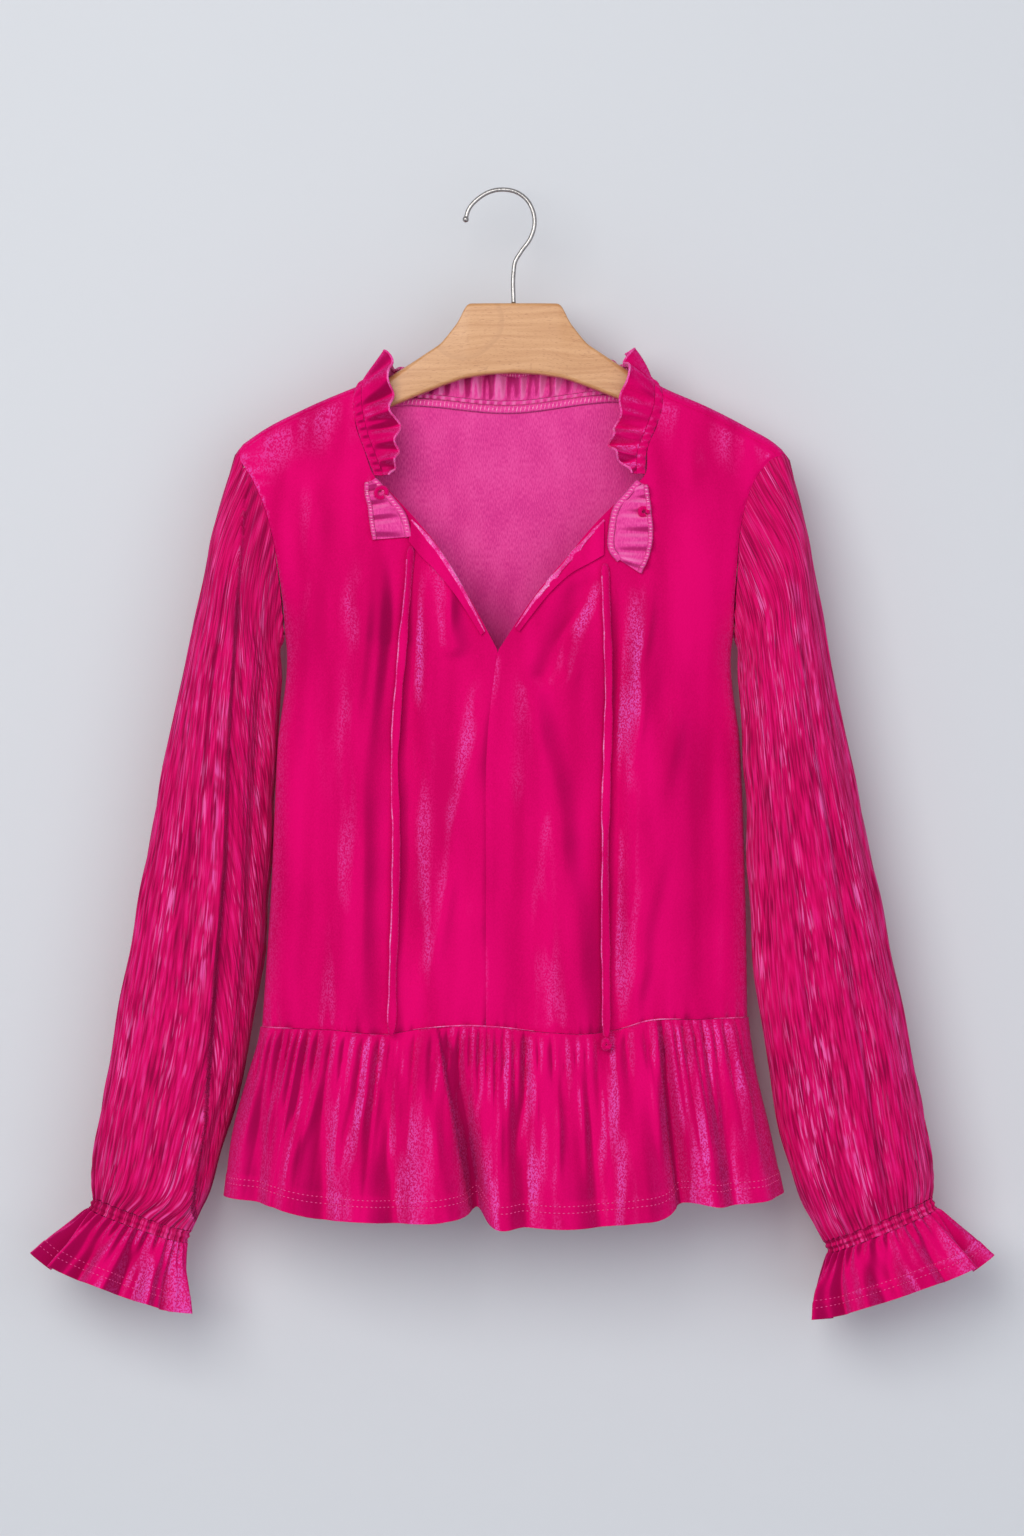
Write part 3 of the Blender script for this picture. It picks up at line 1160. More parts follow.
def front_detail(hand, x, z):
    """Dents along a front panel's seams, and the puckers beside its armhole and waist seam."""
    from_arm = np.abs(x - x[:, :1])
    from_end = np.hypot(x - x[:, -1:], z - z[:, -1:])
    from_waist = z - look_up(WAIST, "x", "z", x)
    from_top = ridge(x) - seam_drop(hand) - z
    seam = bell(from_arm, SEAM_HALF) + bell(from_waist, SEAM_HALF) + bell(from_top, SEAM_HALF)
    seam += bell(from_end, 1.4) * (np.arange(len(x)) > FRONT_ROWS[0])[:, None]
    pucker = 0.35 * np.exp(-from_arm / 7) * np.cos(z * PUCKER_TURN)
    pucker += 0.7 * np.exp(-from_waist / 8) * np.cos(x * PUCKER_TURN + np.sin(x * 0.11) * 3)
    return pucker * ease(from_arm / 3) - SEAM_DEEP * np.minimum(seam, 1)


def front_panel(hand, thick):
    """One front panel: the folded skin over its grid, with its seams' dents and puckers."""
    x, z = front_grid(hand)
    outer, normal = body_face(x, z, -1)
    detail = front_detail(hand, x, z)
    outer = outer + normal * detail[..., None]
    outer[FRONT_ROWS[0] - 1:, 0, 1] = -SEAM_GAP / 2
    from_top = ridge(x) - seam_drop(hand) - z
    bloom = SHOULDER_BLOOM * bell(from_top, 42) * ease(from_top / 6)
    made = wall("front_panel_" + hand, outer, outer - normal * thick, cloth_place(outer), lined(),
                body_height(x, z, -1) + detail, -bloom)
    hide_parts("front_" + hand)
    return made


def back_top():
    """x and distance over the ridge along the back's top edge."""
    neck_x, neck_over = neck_at(np.linspace(*neck_corners(), BACK_COLUMNS[1]))
    left_x = np.linspace(SEAM_END["left"], neck_x[0], BACK_COLUMNS[0] + 1)[:-1]
    right_x = np.linspace(neck_x[-1], SEAM_END["right"], BACK_COLUMNS[0] + 1)[1:]
    sides = [np.full(BACK_COLUMNS[0], -SEAM_TURN[hand] * ROOF_RADIUS) for hand in ("left", "right")]
    return np.concatenate([left_x, neck_x, right_x]), np.concatenate([sides[0], neck_over, sides[1]])


def back_face():
    """Points, skin normals and fold heights of the back.

    Its top edge is the two shoulder seams and the neck seam between them. Each column goes
    over the ridge and down: its distance over the ridge grows evenly from the top edge to the
    underarm, and its x follows the armholes only near them.
    """
    top_x, top_over = back_top()
    top_f = (top_x - top_x[0]) / (top_x[-1] - top_x[0])
    even = np.linspace(-1, 1, len(top_x))
    low_f = (1 + 0.5 * even + 0.5 * np.sin(even * np.pi / 2)) / 2
    runs = [armhole(hand)[1][0] for hand in ("left", "right")]
    shares = [(over_of(run) - over_of(run)[0]) / (over_of(run)[-1] - over_of(run)[0]) for run in runs]
    part = np.linspace(0, 1, BACK_ROWS[0]) ** 1.25
    ends = [smooth(share, run, part) for share, run in zip(shares, runs)]
    down = np.linspace(0, 1, BACK_ROWS[1])[1:]
    waist = look_up(WAIST, "x", "z", [-175.0, 177.0])
    rows = len(part) + len(down)
    spread = ease((np.arange(rows) / rows - 0.25) / 0.6)[:, None]
    f = top_f + (low_f - top_f) * spread
    side_z = [UNDERARM + (waist[k] - UNDERARM) * down for k in (0, 1)]
    now = [np.concatenate([ends[k][:, 0], look_up(BODY, "z", hand, side_z[k])])[:, None]
           for k, hand in enumerate(("left", "right"))]
    x = top_x[0] + (top_x[-1] - top_x[0]) * f
    x = x + (now[0] - top_x[0]) * (1 - f) ** 8 + (now[1] - top_x[-1]) * f**8
    upper = x[:len(part)]
    end = ridge(upper) - UNDERARM - ROOF_RADIUS + ROOF_RADIUS * np.pi / 2
    point, normal = over_point(upper, top_over + (end - top_over) * part[:, None])
    flat = (point[..., 0], point[..., 2])
    bulge = folds(*flat, BACK_FOLDS) + creases(*flat, BACK_CREASES)
    bulge = bulge * seam_fade(*flat) * (point[..., 1] > 0)
    point = point + normal * bulge[..., None]
    for k, column in ((0, (1 - f[:len(part)]) ** 30), (1, f[:len(part)] ** 30)):
        missed = ends[k] - point[:, -k]
        point = point + missed[:, None] * column[..., None]
    lower = x[len(part):]
    last = point[-1, :, 2]
    z = last + (look_up(WAIST, "x", "z", lower) - last) * down[:, None]
    low_point, low_normal = body_face(lower, z, 1)
    relief = np.vstack([bulge, body_height(lower, z, 1)])
    return np.vstack([point, low_point]), np.vstack([normal, low_normal]), relief


def back_panel(thick):
    """The back: its folded face with dents along its seams."""
    outer, normal, relief = back_face()
    from_edge = np.abs(outer[..., :1] - outer[:, [0, -1], 0][:, None]).min(-1)
    from_waist = outer[..., 2] - look_up(WAIST, "x", "z", outer[..., 0])
    seam = bell(from_edge, SEAM_HALF) + bell(from_waist, SEAM_HALF)
    seam[:1] = 1
    outer = outer - normal * (SEAM_DEEP * np.minimum(seam, 1))[..., None]
    outer[BACK_ROWS[0]:, [0, -1], 1] = SEAM_GAP / 2
    made = wall("back_panel", outer, outer - normal * thick, cloth_place(outer), lined(), relief)
    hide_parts("back")
    return made


def over_of(run):
    """Distance over the ridge of points on the skin."""
    drop = ridge(run[:, 0]) - run[:, 2]
    near = ROOF_RADIUS * np.arccos(np.clip(1 - drop / ROOF_RADIUS, -1, 1))
    far = drop - ROOF_RADIUS + ROOF_RADIUS * np.pi / 2
    return np.where(drop < ROOF_RADIUS, np.sign(run[:, 1]) * near, far)


def neck_frame():
    """Places along the neck's seam with their points, normals, leans and ways across.

    Across is at right angles to the seam and to the lean.
    """
    place = np.linspace(0, NECK_LENGTH[-1], NECK_POINTS)
    base, normal = over_point(*neck_at(place))
    lean = unit(np.stack([smooth(NECK_LENGTH, NECK[n], place) for n in ("lean_x", "lean_y", "lean_z")], -1))
    across = unit(np.cross(unit(np.gradient(base, axis=0)), lean))
    across *= np.sign(np.einsum("ij,ij->i", across, normal))[:, None]
    return place, base, normal, lean, across


def neck_waves(place):
    """Phase of the ruffle's waves along the seam, and the small pleats between them."""
    turn = 2 * np.pi * FRILL_WAVES * place / place[-1]
    return turn, np.cos(turn * 2.3 + 1.2 * np.sin(turn / 3))


def neck_casing(seam_frame, thick):
    """The casing band: point = seam point + lean x distance + across x lift."""
    place, base, normal, lean, across = seam_frame
    pleat = neck_waves(place)[1]
    share = np.linspace(0, 1, BAND_ROWS)[:, None]
    belly = np.sin(share * np.pi) * (0.5 + 0.5 * pleat) * 0.9
    lift = (belly + 0.25 * share * (pleat - 1))[..., None]
    away = np.maximum((SEAM_GAP + 0.1) * (1 - share) + BAND_WIDTH * share, 0)
    outer = base + lean * away[..., None] + across * lift
    inner = outer - unit(normal * (1 - share[..., None]) + across * share[..., None]) * thick
    band = wall("neck_casing", outer, inner, cloth_place(outer), lined(), lift[..., 0])
    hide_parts("neck_band")
    return band


def neck_ruffle(seam_frame, thick, wave_height):
    """The gathered frill: its wave grows from nothing at the band to the free edge."""
    place, base, _, lean, across = seam_frame
    turn, pleat = neck_waves(place)
    width = smooth(NECK_LENGTH, NECK["width"], place)
    wave = np.cos(turn + 0.9 * np.sin(turn / 5)) * (1 + 0.35 * np.sin(turn / 3 + 1))
    share = np.linspace(0, 1, RUFFLE_ROWS)[:, None]
    uneven_edge = 1.3 * np.sin(turn / 2) + 0.9 * np.sin(turn * 0.83 + 2)
    reach = BAND_WIDTH + SEAM_GAP + 0.1 + share * (width - BAND_WIDTH + uneven_edge)
    rise = wave_height * share**0.7 * wave
    rise = rise + 3.0 * (1 - share) * share * (pleat + 0.5 * np.cos(turn * 1.7 + 2))
    outer = base + lean * reach[..., None] + across * (rise * np.minimum(1, width / 24))[..., None]
    made = wall("neck_ruffle", outer, outer - across * thick, cloth_place(outer), lined(), rise)
    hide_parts("neck_frill")
    return made, outer


def neck_edges(seam_frame, outer, thick):
    """The ruffle's opened pile edge, and the overlock on both seams where the inside shows."""
    _, base, _, lean, across = seam_frame
    edge = outer[-1] - across * thick / 2
    roll = tube("neck_ruffle_edge", edge, 0.8, 0.9, lean, finish("edge"), sides=6)
    low = base + lean * (BAND_WIDTH * 0.15) - across * (thick + 0.4)
    behind = (base[:, 1] > 0) & (base[:, 0] > -92) & (base[:, 0] < 99)
    for seam in over_edge("neck_seam_overlock", low[behind], lean[behind], 3.2, OVERLOCK_PITCH):
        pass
    rim = outer[-2][behind] - across[behind] * (thick + 0.4)
    for seam in over_edge("neck_ruffle_overlock", rim, lean[behind], 1.5, OVERLOCK_PITCH):
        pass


def waist_points(x, side):
    """The body's lower edge at x: the folded skin at the waist seam's height."""
    return body_face(x, look_up(WAIST, "x", "z", x), side)[0]


def peplum_gathers(x, down):
    """Height of the gathers at x along the waist: small ones that die out, wider ones that last.

    Each is 2 |cos(phase / 2)| ^ 0.7 - 1, round ridges over sharp valleys, with a pitch of
    about 8 mm (small) and 17 mm (wider) that wanders, and a height that differs between them.
    """
    phase = 2 * np.pi * (x / 8.4 + 0.7 * np.sin(x / 27) + 0.35 * np.sin(x / 11 + 1))
    height = 0.7 + 0.3 * np.sin(x / 21 + 2)
    small = (2 * np.abs(np.cos(phase / 2)) ** 0.7 - 1) * height * look_up(PEPLUM, "down", "gather", down)
    wide_phase = 2 * np.pi * (x / 16.5 + 0.6 * np.sin(x / 34 + 2) + 0.2 * np.sin(x / 15))
    lasting = ease(down / 0.08) * (1 - 0.85 * ease((down - 0.12) / (0.5 + 0.3 * np.sin(x / 17))))
    wider = 1.5 * (2 * np.abs(np.cos(wide_phase / 2)) ** 0.7 - 1) * lasting * (1 + 0.3 * np.sin(x / 9))
    return small, wider


def peplum(name, side, fold_rows, thick, gather):
    """A gathered skirt piece. Many small gathers at the waist run out into a few big folds.

    Point = rounded box section at that height + normal x (gathers + bells across fold lines).
    """
    u = np.linspace(-1, 1, PEPLUM_GRID[1])
    down = np.linspace(0, 1, PEPLUM_GRID[0])[:, None]
    across = 0.5 * u + 0.5 * np.sin(u * np.pi / 2)
    rounded = np.sqrt(np.maximum(1 - np.abs(across) ** SIDE_POWER, 0))
    left, right = look_up(PEPLUM, "down", "left", down), look_up(PEPLUM, "down", "right", down)
    depth_name = "front" if side < 0 else "back"
    depth = look_up(PEPLUM, "down", depth_name, down)
    x = (left + right) / 2 + (right - left) / 2 * across
    seam = waist_points(x, side)
    top = seam[..., 2] - SEAM_GAP
    z = top + (look_up(HEM, "x", "z", x) - top) * down
    y = side * depth * rounded
    slope = SIDE_POWER * np.sign(across) * np.abs(across) ** (SIDE_POWER - 1) / ((right - left) / 2)
    normal = unit(np.stack([slope, 2 * y / depth**2, 0 * x], -1))
    line = fold_rows["waist_x"] + (fold_rows["hem_x"] - fold_rows["waist_x"]) * down[..., None]
    wide = fold_rows["width"] * (0.45 + 0.55 * down[..., None])
    bells = (fold_rows["height"] * bell(x[..., None] - line, wide)).sum(-1)
    waist_x = x / (1 + 0.14 * down)
    small, wider = peplum_gathers(waist_x, down)
    edge_fade = ease((1 - np.abs(across)) / 0.07)
    start = side * PEPLUM[depth_name][0] * rounded
    carried = (seam[..., 1] - start) * ease(1 - down / 0.4)
    swell = 0.5 * ease((down - 0.86) / 0.02)
    out = gather * (small + wider) + bells * ease(down * 1.15) + 0.5 * uneven(x, z, 38) * down
    hollow = 0.0
    if side < 0:
        drop = ledges(x, z, PEPLUM_LEDGES)
        out = out + gather * (creases(x, z, PEPLUM_CREASES) + drop)
        lit_line = bell(x + 37 + 0.12 * (z + 660), 5) * ease((z + 728) / 30)
        hollow = 0.8 * ease(-drop / 5) - 0.2 * lit_line
    out = out * edge_fade + swell
    outer = np.stack([x, y + carried * edge_fade, z], -1) + normal * out[..., None]
    inner = outer - normal * (thick + swell)[..., None]
    for grid in (outer, inner):
        grid[:, [0, -1], 1] += side * SEAM_GAP / 2
    made = wall(name + "_skirt", outer, inner, cloth_place(outer), lined(), out, hollow)
    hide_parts(name)
    hem_stitches(name, outer, normal)
    if side < 0:
        waist_blooms()
    return made


def hem_stitches(name, outer, normal):
    """Two rows of stitches above the peplum's hem."""
    for k, row in enumerate(PEPLUM_STITCH_ROWS):
        at = int(row * (len(outer) - 1))
        outwards = normal[at, 3:-3]
        thread = stitches(f"{name}_stitch_{k}", outer[at, 3:-3] + outwards * 0.1, outwards)


def waist_blooms():
    """Opened pile along stretches of the waist seam's fold."""
    for k, (start, stop) in enumerate(SEAM_BLOOM):
        line = waist_points(np.linspace(start, stop, 60), -1) + np.array([0, -0.5, 0.2])
        half = 0.45 * np.sin(np.linspace(0.2, np.pi - 0.2, 60))
        bloom = tube(f"waist_pile_edge_{k}", line, half, 0.4, UPWARD, finish("edge"), sides=6)


def ring_grid(rows, at, g):
    """Sections of a sleeve as a grid: at counts the table's rows and g goes once round.

    With f from 0 to 1 from the outer to the inner edge, a point is (1 - cos pi f) / 2 of the
    way across, moved to the crest by sin squared, and its depth goes as sin pi f.
    """
    keys = np.arange(len(rows["front"]))
    value = {name: smooth(keys, column, at)[:, None] for name, column in rows.items()}
    ahead = g <= 0.5
    f = np.where(ahead, 2 * g, 2 * (1 - g))
    arch = np.sin(np.pi * f)
    crest = np.where(ahead, value["crest"], 0.5) - 0.5
    s = (1 - np.cos(np.pi * f)) / 2 + crest * arch**2
    depth = np.where(ahead, -value["front"], value["back"]) * np.maximum(arch, 0) ** 0.85
    x = value["out_x"] + (value["in_x"] - value["out_x"]) * s
    z = value["out_z"] + (value["in_z"] - value["out_z"]) * s
    return np.stack([x, value["in_y"] * s + depth, z], -1)


def tube_normals(grid):
    """Outward normals of a grid of rings, by differences along and round it."""
    round_it = np.roll(grid, -1, 1) - np.roll(grid, 1, 1)
    normal = unit(np.cross(round_it, np.gradient(grid, axis=0)))
    outwards = grid - grid.mean(1, keepdims=True)
    return normal * np.sign(np.einsum("ijk,ijk->", normal, outwards))


def wrist_gathers(g):
    """The elastic's gathers round the wrist, uneven in pitch."""
    return np.cos(2 * np.pi * g * WRIST_GATHERS + 1.1 * np.sin(g * 31))


def sleeve_grid(hand, g, at):
    """The plain sleeve: its top ring is the armhole seam and nine sections lead to the wrist."""
    front_run, back_run = armhole(hand)
    loop = np.vstack([back_run[0][2], back_run[0][1], front_run[0], back_run[0][-2:2:-1]])
    loop = np.vstack([loop, loop[:1]])
    front_ring = np.array([*RING_TOP, *ARM_FRONT["ring"]]) / 2
    back_ring = 1 - np.array([*RING_RIDGE, *ARM_BACK["ring"]])[-2::-1] / 2
    place = np.concatenate([front_ring, back_ring, [1.0]])
    rows = SLEEVE[hand]
    keys = np.arange(len(rows["front"]) + 1)
    controls = np.concatenate([smooth(place, loop, g)[None], ring_grid(rows, keys[:-1], g)])
    return smooth(keys, controls, at)


def sleeve_folds(hand, grid, g, at):
    """Sum of long folds: bells across lines that wander down the sleeve."""
    around = np.linalg.norm(np.roll(grid, -1, 1) - grid, axis=-1).sum(1)[:, None]
    out = np.zeros(grid.shape[:2])
    for side, top_s, low_s, top, low, height, width in zip(*SLEEVE_FOLDS[hand].values()):
        t = np.clip((at - top) / (low - top), 0, 1)[:, None]
        s = top_s + (low_s - top_s) * t + 0.012 * np.sin(at * 1.7 + height)[:, None]
        spot = np.arccos(1 - 2 * s) / np.pi / 2
        spot = spot if side > 0 else 1 - spot
        off = (g - spot + 0.5) % 1 - 0.5
        ends = ease((at - top) / 1.6) * ease((low + 0.6 - at) / 1.2)
        out += height * ends[:, None] * bell(off * around, width)
    return out


def underside(hand, grid, g):
    """Distance past the fold edge down the sleeve's front, the step there and the share under."""
    edge = SLEEVE_EDGE[hand]
    beyond = grid[..., 0] - np.interp(-grid[..., 2], -edge["z"], edge["x"])
    ahead = ease((0.5 - g) / 0.04) * ease(g / 0.04)
    step = np.interp(-grid[..., 2], -edge["z"], edge["step"]) * ahead
    return beyond, step, ease(beyond / 2.5 + 0.5) * ahead


def sleeve_relief(hand, grid, g, at, turned):
    """Height of the sleeve's face over its plain grid.

    Long folds + ribs that run with them + gathers at the wrist, less the step down to the
    underside and the dent of the armhole seam, with its puckers.
    """
    beyond, step, under = turned
    down = at[:, None]
    out = sleeve_folds(hand, grid, g, at)
    ribs = np.cos(2 * np.pi * (g * SLEEVE_RIBS) + 1.6 * np.sin(at * 0.9)[:, None] + 2.2 * np.sin(g * 19))
    soft = uneven(g * 300, down * 55, 62)
    out += 0.55 * ribs * ease((down - 0.4) / 1.5) * (0.7 + 0.3 * soft) + 0.7 * soft
    wrist = ease((down - at[-1] + 1.3) / 1.1)
    out = out * (1 - 0.7 * wrist) + 1.0 * wrist_gathers(g) * wrist
    out = out * (1 - 0.5 * under) - step * under * ease((0.5 - g) / 0.13)
    out += 0.35 * step * bell(beyond + 3, 3.5)
    toward_body = np.interp(-grid[..., 2], (320, 350, 540, 600), (0, 3, 3, 0)) * bell(g - 0.5, 0.035)
    out += toward_body * (1.0 if hand == "left" else 0.6)
    out *= ease((down + 0.02) / 0.5)
    seam = SEAM_DEEP * bell(down, 0.035)
    puckers = 0.9 * np.cos(g * 2 * np.pi * WRIST_GATHERS + np.sin(g * 40)) * np.exp(-down / 0.35)
    return out - seam + puckers * ease(down / 0.05)


def sleeve_sheen(hand, g, at):
    """Light of the broad bands of pile down the sleeve, each a bell that drifts round it."""
    sheen = np.zeros((len(at), len(g)))
    for middle, half, start, stop, strength in zip(*SLEEVE_SHEEN[hand].values()):
        band = ease((at - start) / 1.2) * ease((stop - at) / 1.6)
        drift = middle + 0.014 * np.sin(at * 1.3 + middle * 40)
        sheen += strength * band[:, None] * bell(g - drift[:, None], half)
    return sheen


def sleeve(hand, thick):
    """A sleeve: its plain grid raised by folds, ribs and gathers."""
    g = np.arange(SLEEVE_GRID[1]) / SLEEVE_GRID[1]
    at = np.linspace(0, len(SLEEVE[hand]["front"]), SLEEVE_GRID[0])
    grid = sleeve_grid(hand, g, at)
    normal = tube_normals(grid)
    turned = underside(hand, grid, g)
    relief = sleeve_relief(hand, grid, g, at, turned)
    outer = grid + normal * relief[..., None]
    place = cloth_place(grid, True)
    under = turned[2] * (hand == "left")
    place[..., 0] = place[..., 0] - 0.3 * closed(under) * place[..., 1]
    made = wall("sleeve_tube_" + hand, outer, outer - normal * thick, place, lined("crinkled"), relief,
                0.26 * under - sleeve_sheen(hand, g, at), around=True)
    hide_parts("sleeve_" + hand)
    return made


def cuff_sections(hand, rows, count):
    """Sections of a wrist piece, carried on from the sleeve's last one along its way down."""
    end = {name: column[-1] for name, column in SLEEVE[hand].items()}
    out, into = np.array([end["out_x"], end["out_z"]]), np.array([end["in_x"], end["in_z"]])
    across = unit(into - out)
    axis = np.array([across[1], -across[0]])
    axis *= -np.sign(axis[1])
    keys = np.arange(len(rows["out"]))
    at = np.linspace(0, keys[-1], count)
    value = {name: smooth(keys, column, at) for name, column in rows.items()}
    a = out + axis * value["along_out"][:, None] - across * value["out"][:, None]
    b = into + axis * value["along_in"][:, None] + across * value["in"][:, None]
    sections = {"out_x": a[:, 0], "out_z": a[:, 1], "in_x": b[:, 0], "in_z": b[:, 1], "in_y": 0 * at,
                "front": value["front"], "back": value["back"], "crest": 0 * at + end["crest"]}
    return sections, value["wave"][:, None]


def cuff_lift(share, g, deep):
    """Height of the cuff frill's waves: gathers that die out and waves that grow to the hem."""
    turn = 2 * np.pi * CUFF_WAVES * g
    wave = np.cos(turn + 0.5 * np.sin(turn / CUFF_WAVES))
    fade = (1 - ease(share / 0.75)) * 1.9 * ease(share / 0.08) + 0.9 * (share < 0.05)
    lift = wrist_gathers(g) * fade + 1.15 * deep * wave + 0.35 * deep * np.cos(turn * 0.5 + 1)
    lift = lift + 0.3 * deep * np.cos(turn * 2.6 + 2 + share * 2)
    return lift + 0.5 * ease((share - 0.76) / 0.03)


def cuff_pieces(hand, thick):
    """The elastic band and the frill below it, as rings of cloth."""
    g = np.arange(CUFF_ROUND) / CUFF_ROUND
    made = []
    for elastic, rows, count in ((True, CUFF_BAND, ELASTIC_ROWS), (False, CUFF_FRILL[hand], CUFF_ROWS)):
        sections, deep = cuff_sections(hand, rows, count)
        grid = ring_grid(sections, np.arange(count), g)
        normal = tube_normals(grid)
        share = np.linspace(0, 1, count)[:, None]
        if elastic:
            name, node = "wrist_elastic_" + hand, "cuff_band_" + hand
            lift = 1.0 * wrist_gathers(g) + 0.5 * np.cos(share * 2 * np.pi * 2) - 0.3
        else:
            name, node = "cuff_ruffle_" + hand, "cuff_frill_" + hand
            lift = cuff_lift(share, g, deep)
        outer = grid + normal * lift[..., None]
        piece = wall(name, outer, outer - normal * thick, cloth_place(grid, True),
                     lined("crinkled" if elastic else "velvet"), lift, around=True)
        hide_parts(node)
        made.append(piece)
    for k, row in enumerate(CUFF_STITCH_ROWS):
        at = int(row * (CUFF_ROWS - 1))
        outwards = np.vstack([normal[at], normal[at, :1]])
        line = np.vstack([outer[at], outer[at, :1]]) + outwards * 0.1
        thread = stitches(f"cuff_stitch_{hand}_{k}", line, outwards)
    return made


def laid_y(x, z, lift):
    """y of something lying on the front at x and z, lift in front of the cloth."""
    return body_face(x, z, -1)[0][..., 1] - lift


def strip_grid(rows, count, s):
    """x and z across a strip from its inner edge to its outer one, and the place along it."""
    keys = np.arange(len(rows["in_x"]))
    at = np.linspace(0, keys[-1], count)[:, None]
    x, z = (smooth(keys, rows["in_" + axis], at) * (1 - s) + smooth(keys, rows["out_" + axis], at) * s
            for axis in "xz")
    return x, z, at


def facing(hand, thick):
    """The slit's facing, turned to the outside: a narrow strip, its pile opened along the fold."""
    s = np.linspace(0, 1, FACING_GRID[1])
    x, z, at = strip_grid(FACING[hand], FACING_GRID[0], s)
    lift = 0.6 + thick + 0.5 * np.sin(s * np.pi) + 0.3 * np.sin(at * 5) + 0.9 * s**3
    outer = np.stack([x, laid_y(x, z, lift), z], -1)
    inner = outer + np.array([0, thick, 0])
    made = wall("slit_facing_strip_" + hand, outer, inner, cloth_place(outer), lined(), -lift)
    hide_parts("slit_facing_" + hand)
    edge = outer[:, 0] + np.array([0, thick / 2, 0])
    wide = 2.6 * np.sin(np.linspace(0.2, np.pi - 0.15, len(edge)))
    bloom = tube("slit_fold_" + hand, edge, wide, 0.8, np.array([0.7, 0, 0.7]), finish("edge"), sides=8)
    return made


def frill_end(hand, thick):
    """The neck strip's front end, turned wrong side out and rippled, overlocked on both edges."""
    s = np.linspace(0, 1, RUFFLE_END_GRID[1])
    x, z, at = strip_grid(FRILL_END[hand], RUFFLE_END_GRID[0], s)
    ripple = 1.5 * (1 - np.cos(at * 6.1 + 0.8 * s)) + 0.5 * np.cos(at * 13 + s * 4)
    ripple = ripple * np.sin(s * np.pi / 2)
    outer = np.stack([x, laid_y(x, z, 0.9 + thick + ripple), z], -1)
    inner = outer + np.array([0, thick, 0])
    made = wall("ruffle_end_" + hand, outer, inner, cloth_place(outer), lined("backing", "velvet"), ripple)
    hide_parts("frill_end_" + hand)
    for name, column, wide in (("base", 0, 2.5), ("edge", -2, 1.7)):
        line = outer[:, column] + np.array([0, -0.3, 0])
        for roll in over_edge(f"ruffle_end_{name}_{hand}", line, ASIDE, wide, END_OVERLOCK_PITCH):
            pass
    ruffle_curl(hand)
    return made


def ruffle_curl(hand):
    """The strip's corner rolled into a loop: a velvet ring drawn out along its axis."""
    middle_x, middle_z, radius, wide = CURL[hand]
    turn = np.linspace(-0.4, 2 * np.pi - 0.9, 40)
    y = laid_y(middle_x, middle_z, 3.4)
    size = 1.15 * radius * (1 + 0.12 * np.sin(turn * 2 + 1))
    line = np.stack([middle_x + size * np.cos(turn), y + 0.9 * np.sin(turn * 1.5),
                     middle_z + 1.15 * size * np.sin(turn)], -1)
    return tube("ruffle_curl_" + hand, line, wide, 1.7, AWAY, finish("velvet"), sides=8)


def tie_line(hand):
    """The tie's centre line: its route in x and z, just in front of the folded cloth."""
    rows = TIE[hand]
    along = added_up(np.hypot(np.diff(rows["x"]), np.diff(rows["z"])))
    at = np.linspace(0, along[-1], TIE_POINTS)
    x, z = smooth(along, rows["x"], at), smooth(along, rows["z"], at)
    z = z + TIE_RISE * ease(1 - at / 45)
    near = np.min([laid_y(x + dx, np.maximum(z, WAIST["z"].min() + 2), 0) for dx in (-3, 0, 3)], axis=0)
    near = np.convolve(np.pad(near, 9, mode="edge"), np.ones(19) / 19, mode="valid")
    return np.stack([x, near - 2.3 - smooth(along, rows["lift"], at), z], -1)


def tie(hand, width, thick):
    """A flat rouleau tie: an oval tube along its line, twisting a little as it hangs."""
    line = tie_line(hand)
    along = np.linspace(0, 1, len(line))
    twist = 0.5 * np.sin(along * 9 + (1 if hand == "left" else 2.2)) + 0.2 * np.sin(along * 23)
    wide_way = np.stack([np.cos(twist), np.sin(twist), 0 * twist], -1)
    swell = 1 + 0.08 * np.sin(along * 41) + 0.05 * np.sin(along * 87)
    taper = np.minimum(1, 0.35 + np.minimum(along, 1 - along) * 60)
    half = width / 2 * swell * taper
    made = tube("rouleau_tie_" + hand, line, half, thick / 2 * taper, wide_way, finish("velvet"), sides=14)
    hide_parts("tie_" + hand)
    side = line - wide_way * half[:, None] * 0.9 + np.array([0, -0.7, 0])
    bright = tube("tie_pile_edge_" + hand, side[3:-3], 0.5, 0.5, AWAY, finish("edge"), sides=6)
    return made, line, bright


def tie_knot(end):
    """The tie's knot: three turns of rouleau pulled into a lump about 9 mm across."""
    t = np.linspace(0, 2 * np.pi, 90)
    around = np.stack([2.1 * np.cos(2 * t) * (1 + 0.25 * np.cos(3 * t)), 1.5 * np.sin(3 * t),
                       2.6 * np.sin(2 * t) * (1 + 0.25 * np.cos(3 * t))], -1)
    line = end + np.array([0, 0, -KNOT_DROP]) + around
    made = tube("tie_end_knot", line, 2.0, 1.7, AWAY, finish("velvet"), sides=8)
    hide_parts("tie_knot_right")
    return made


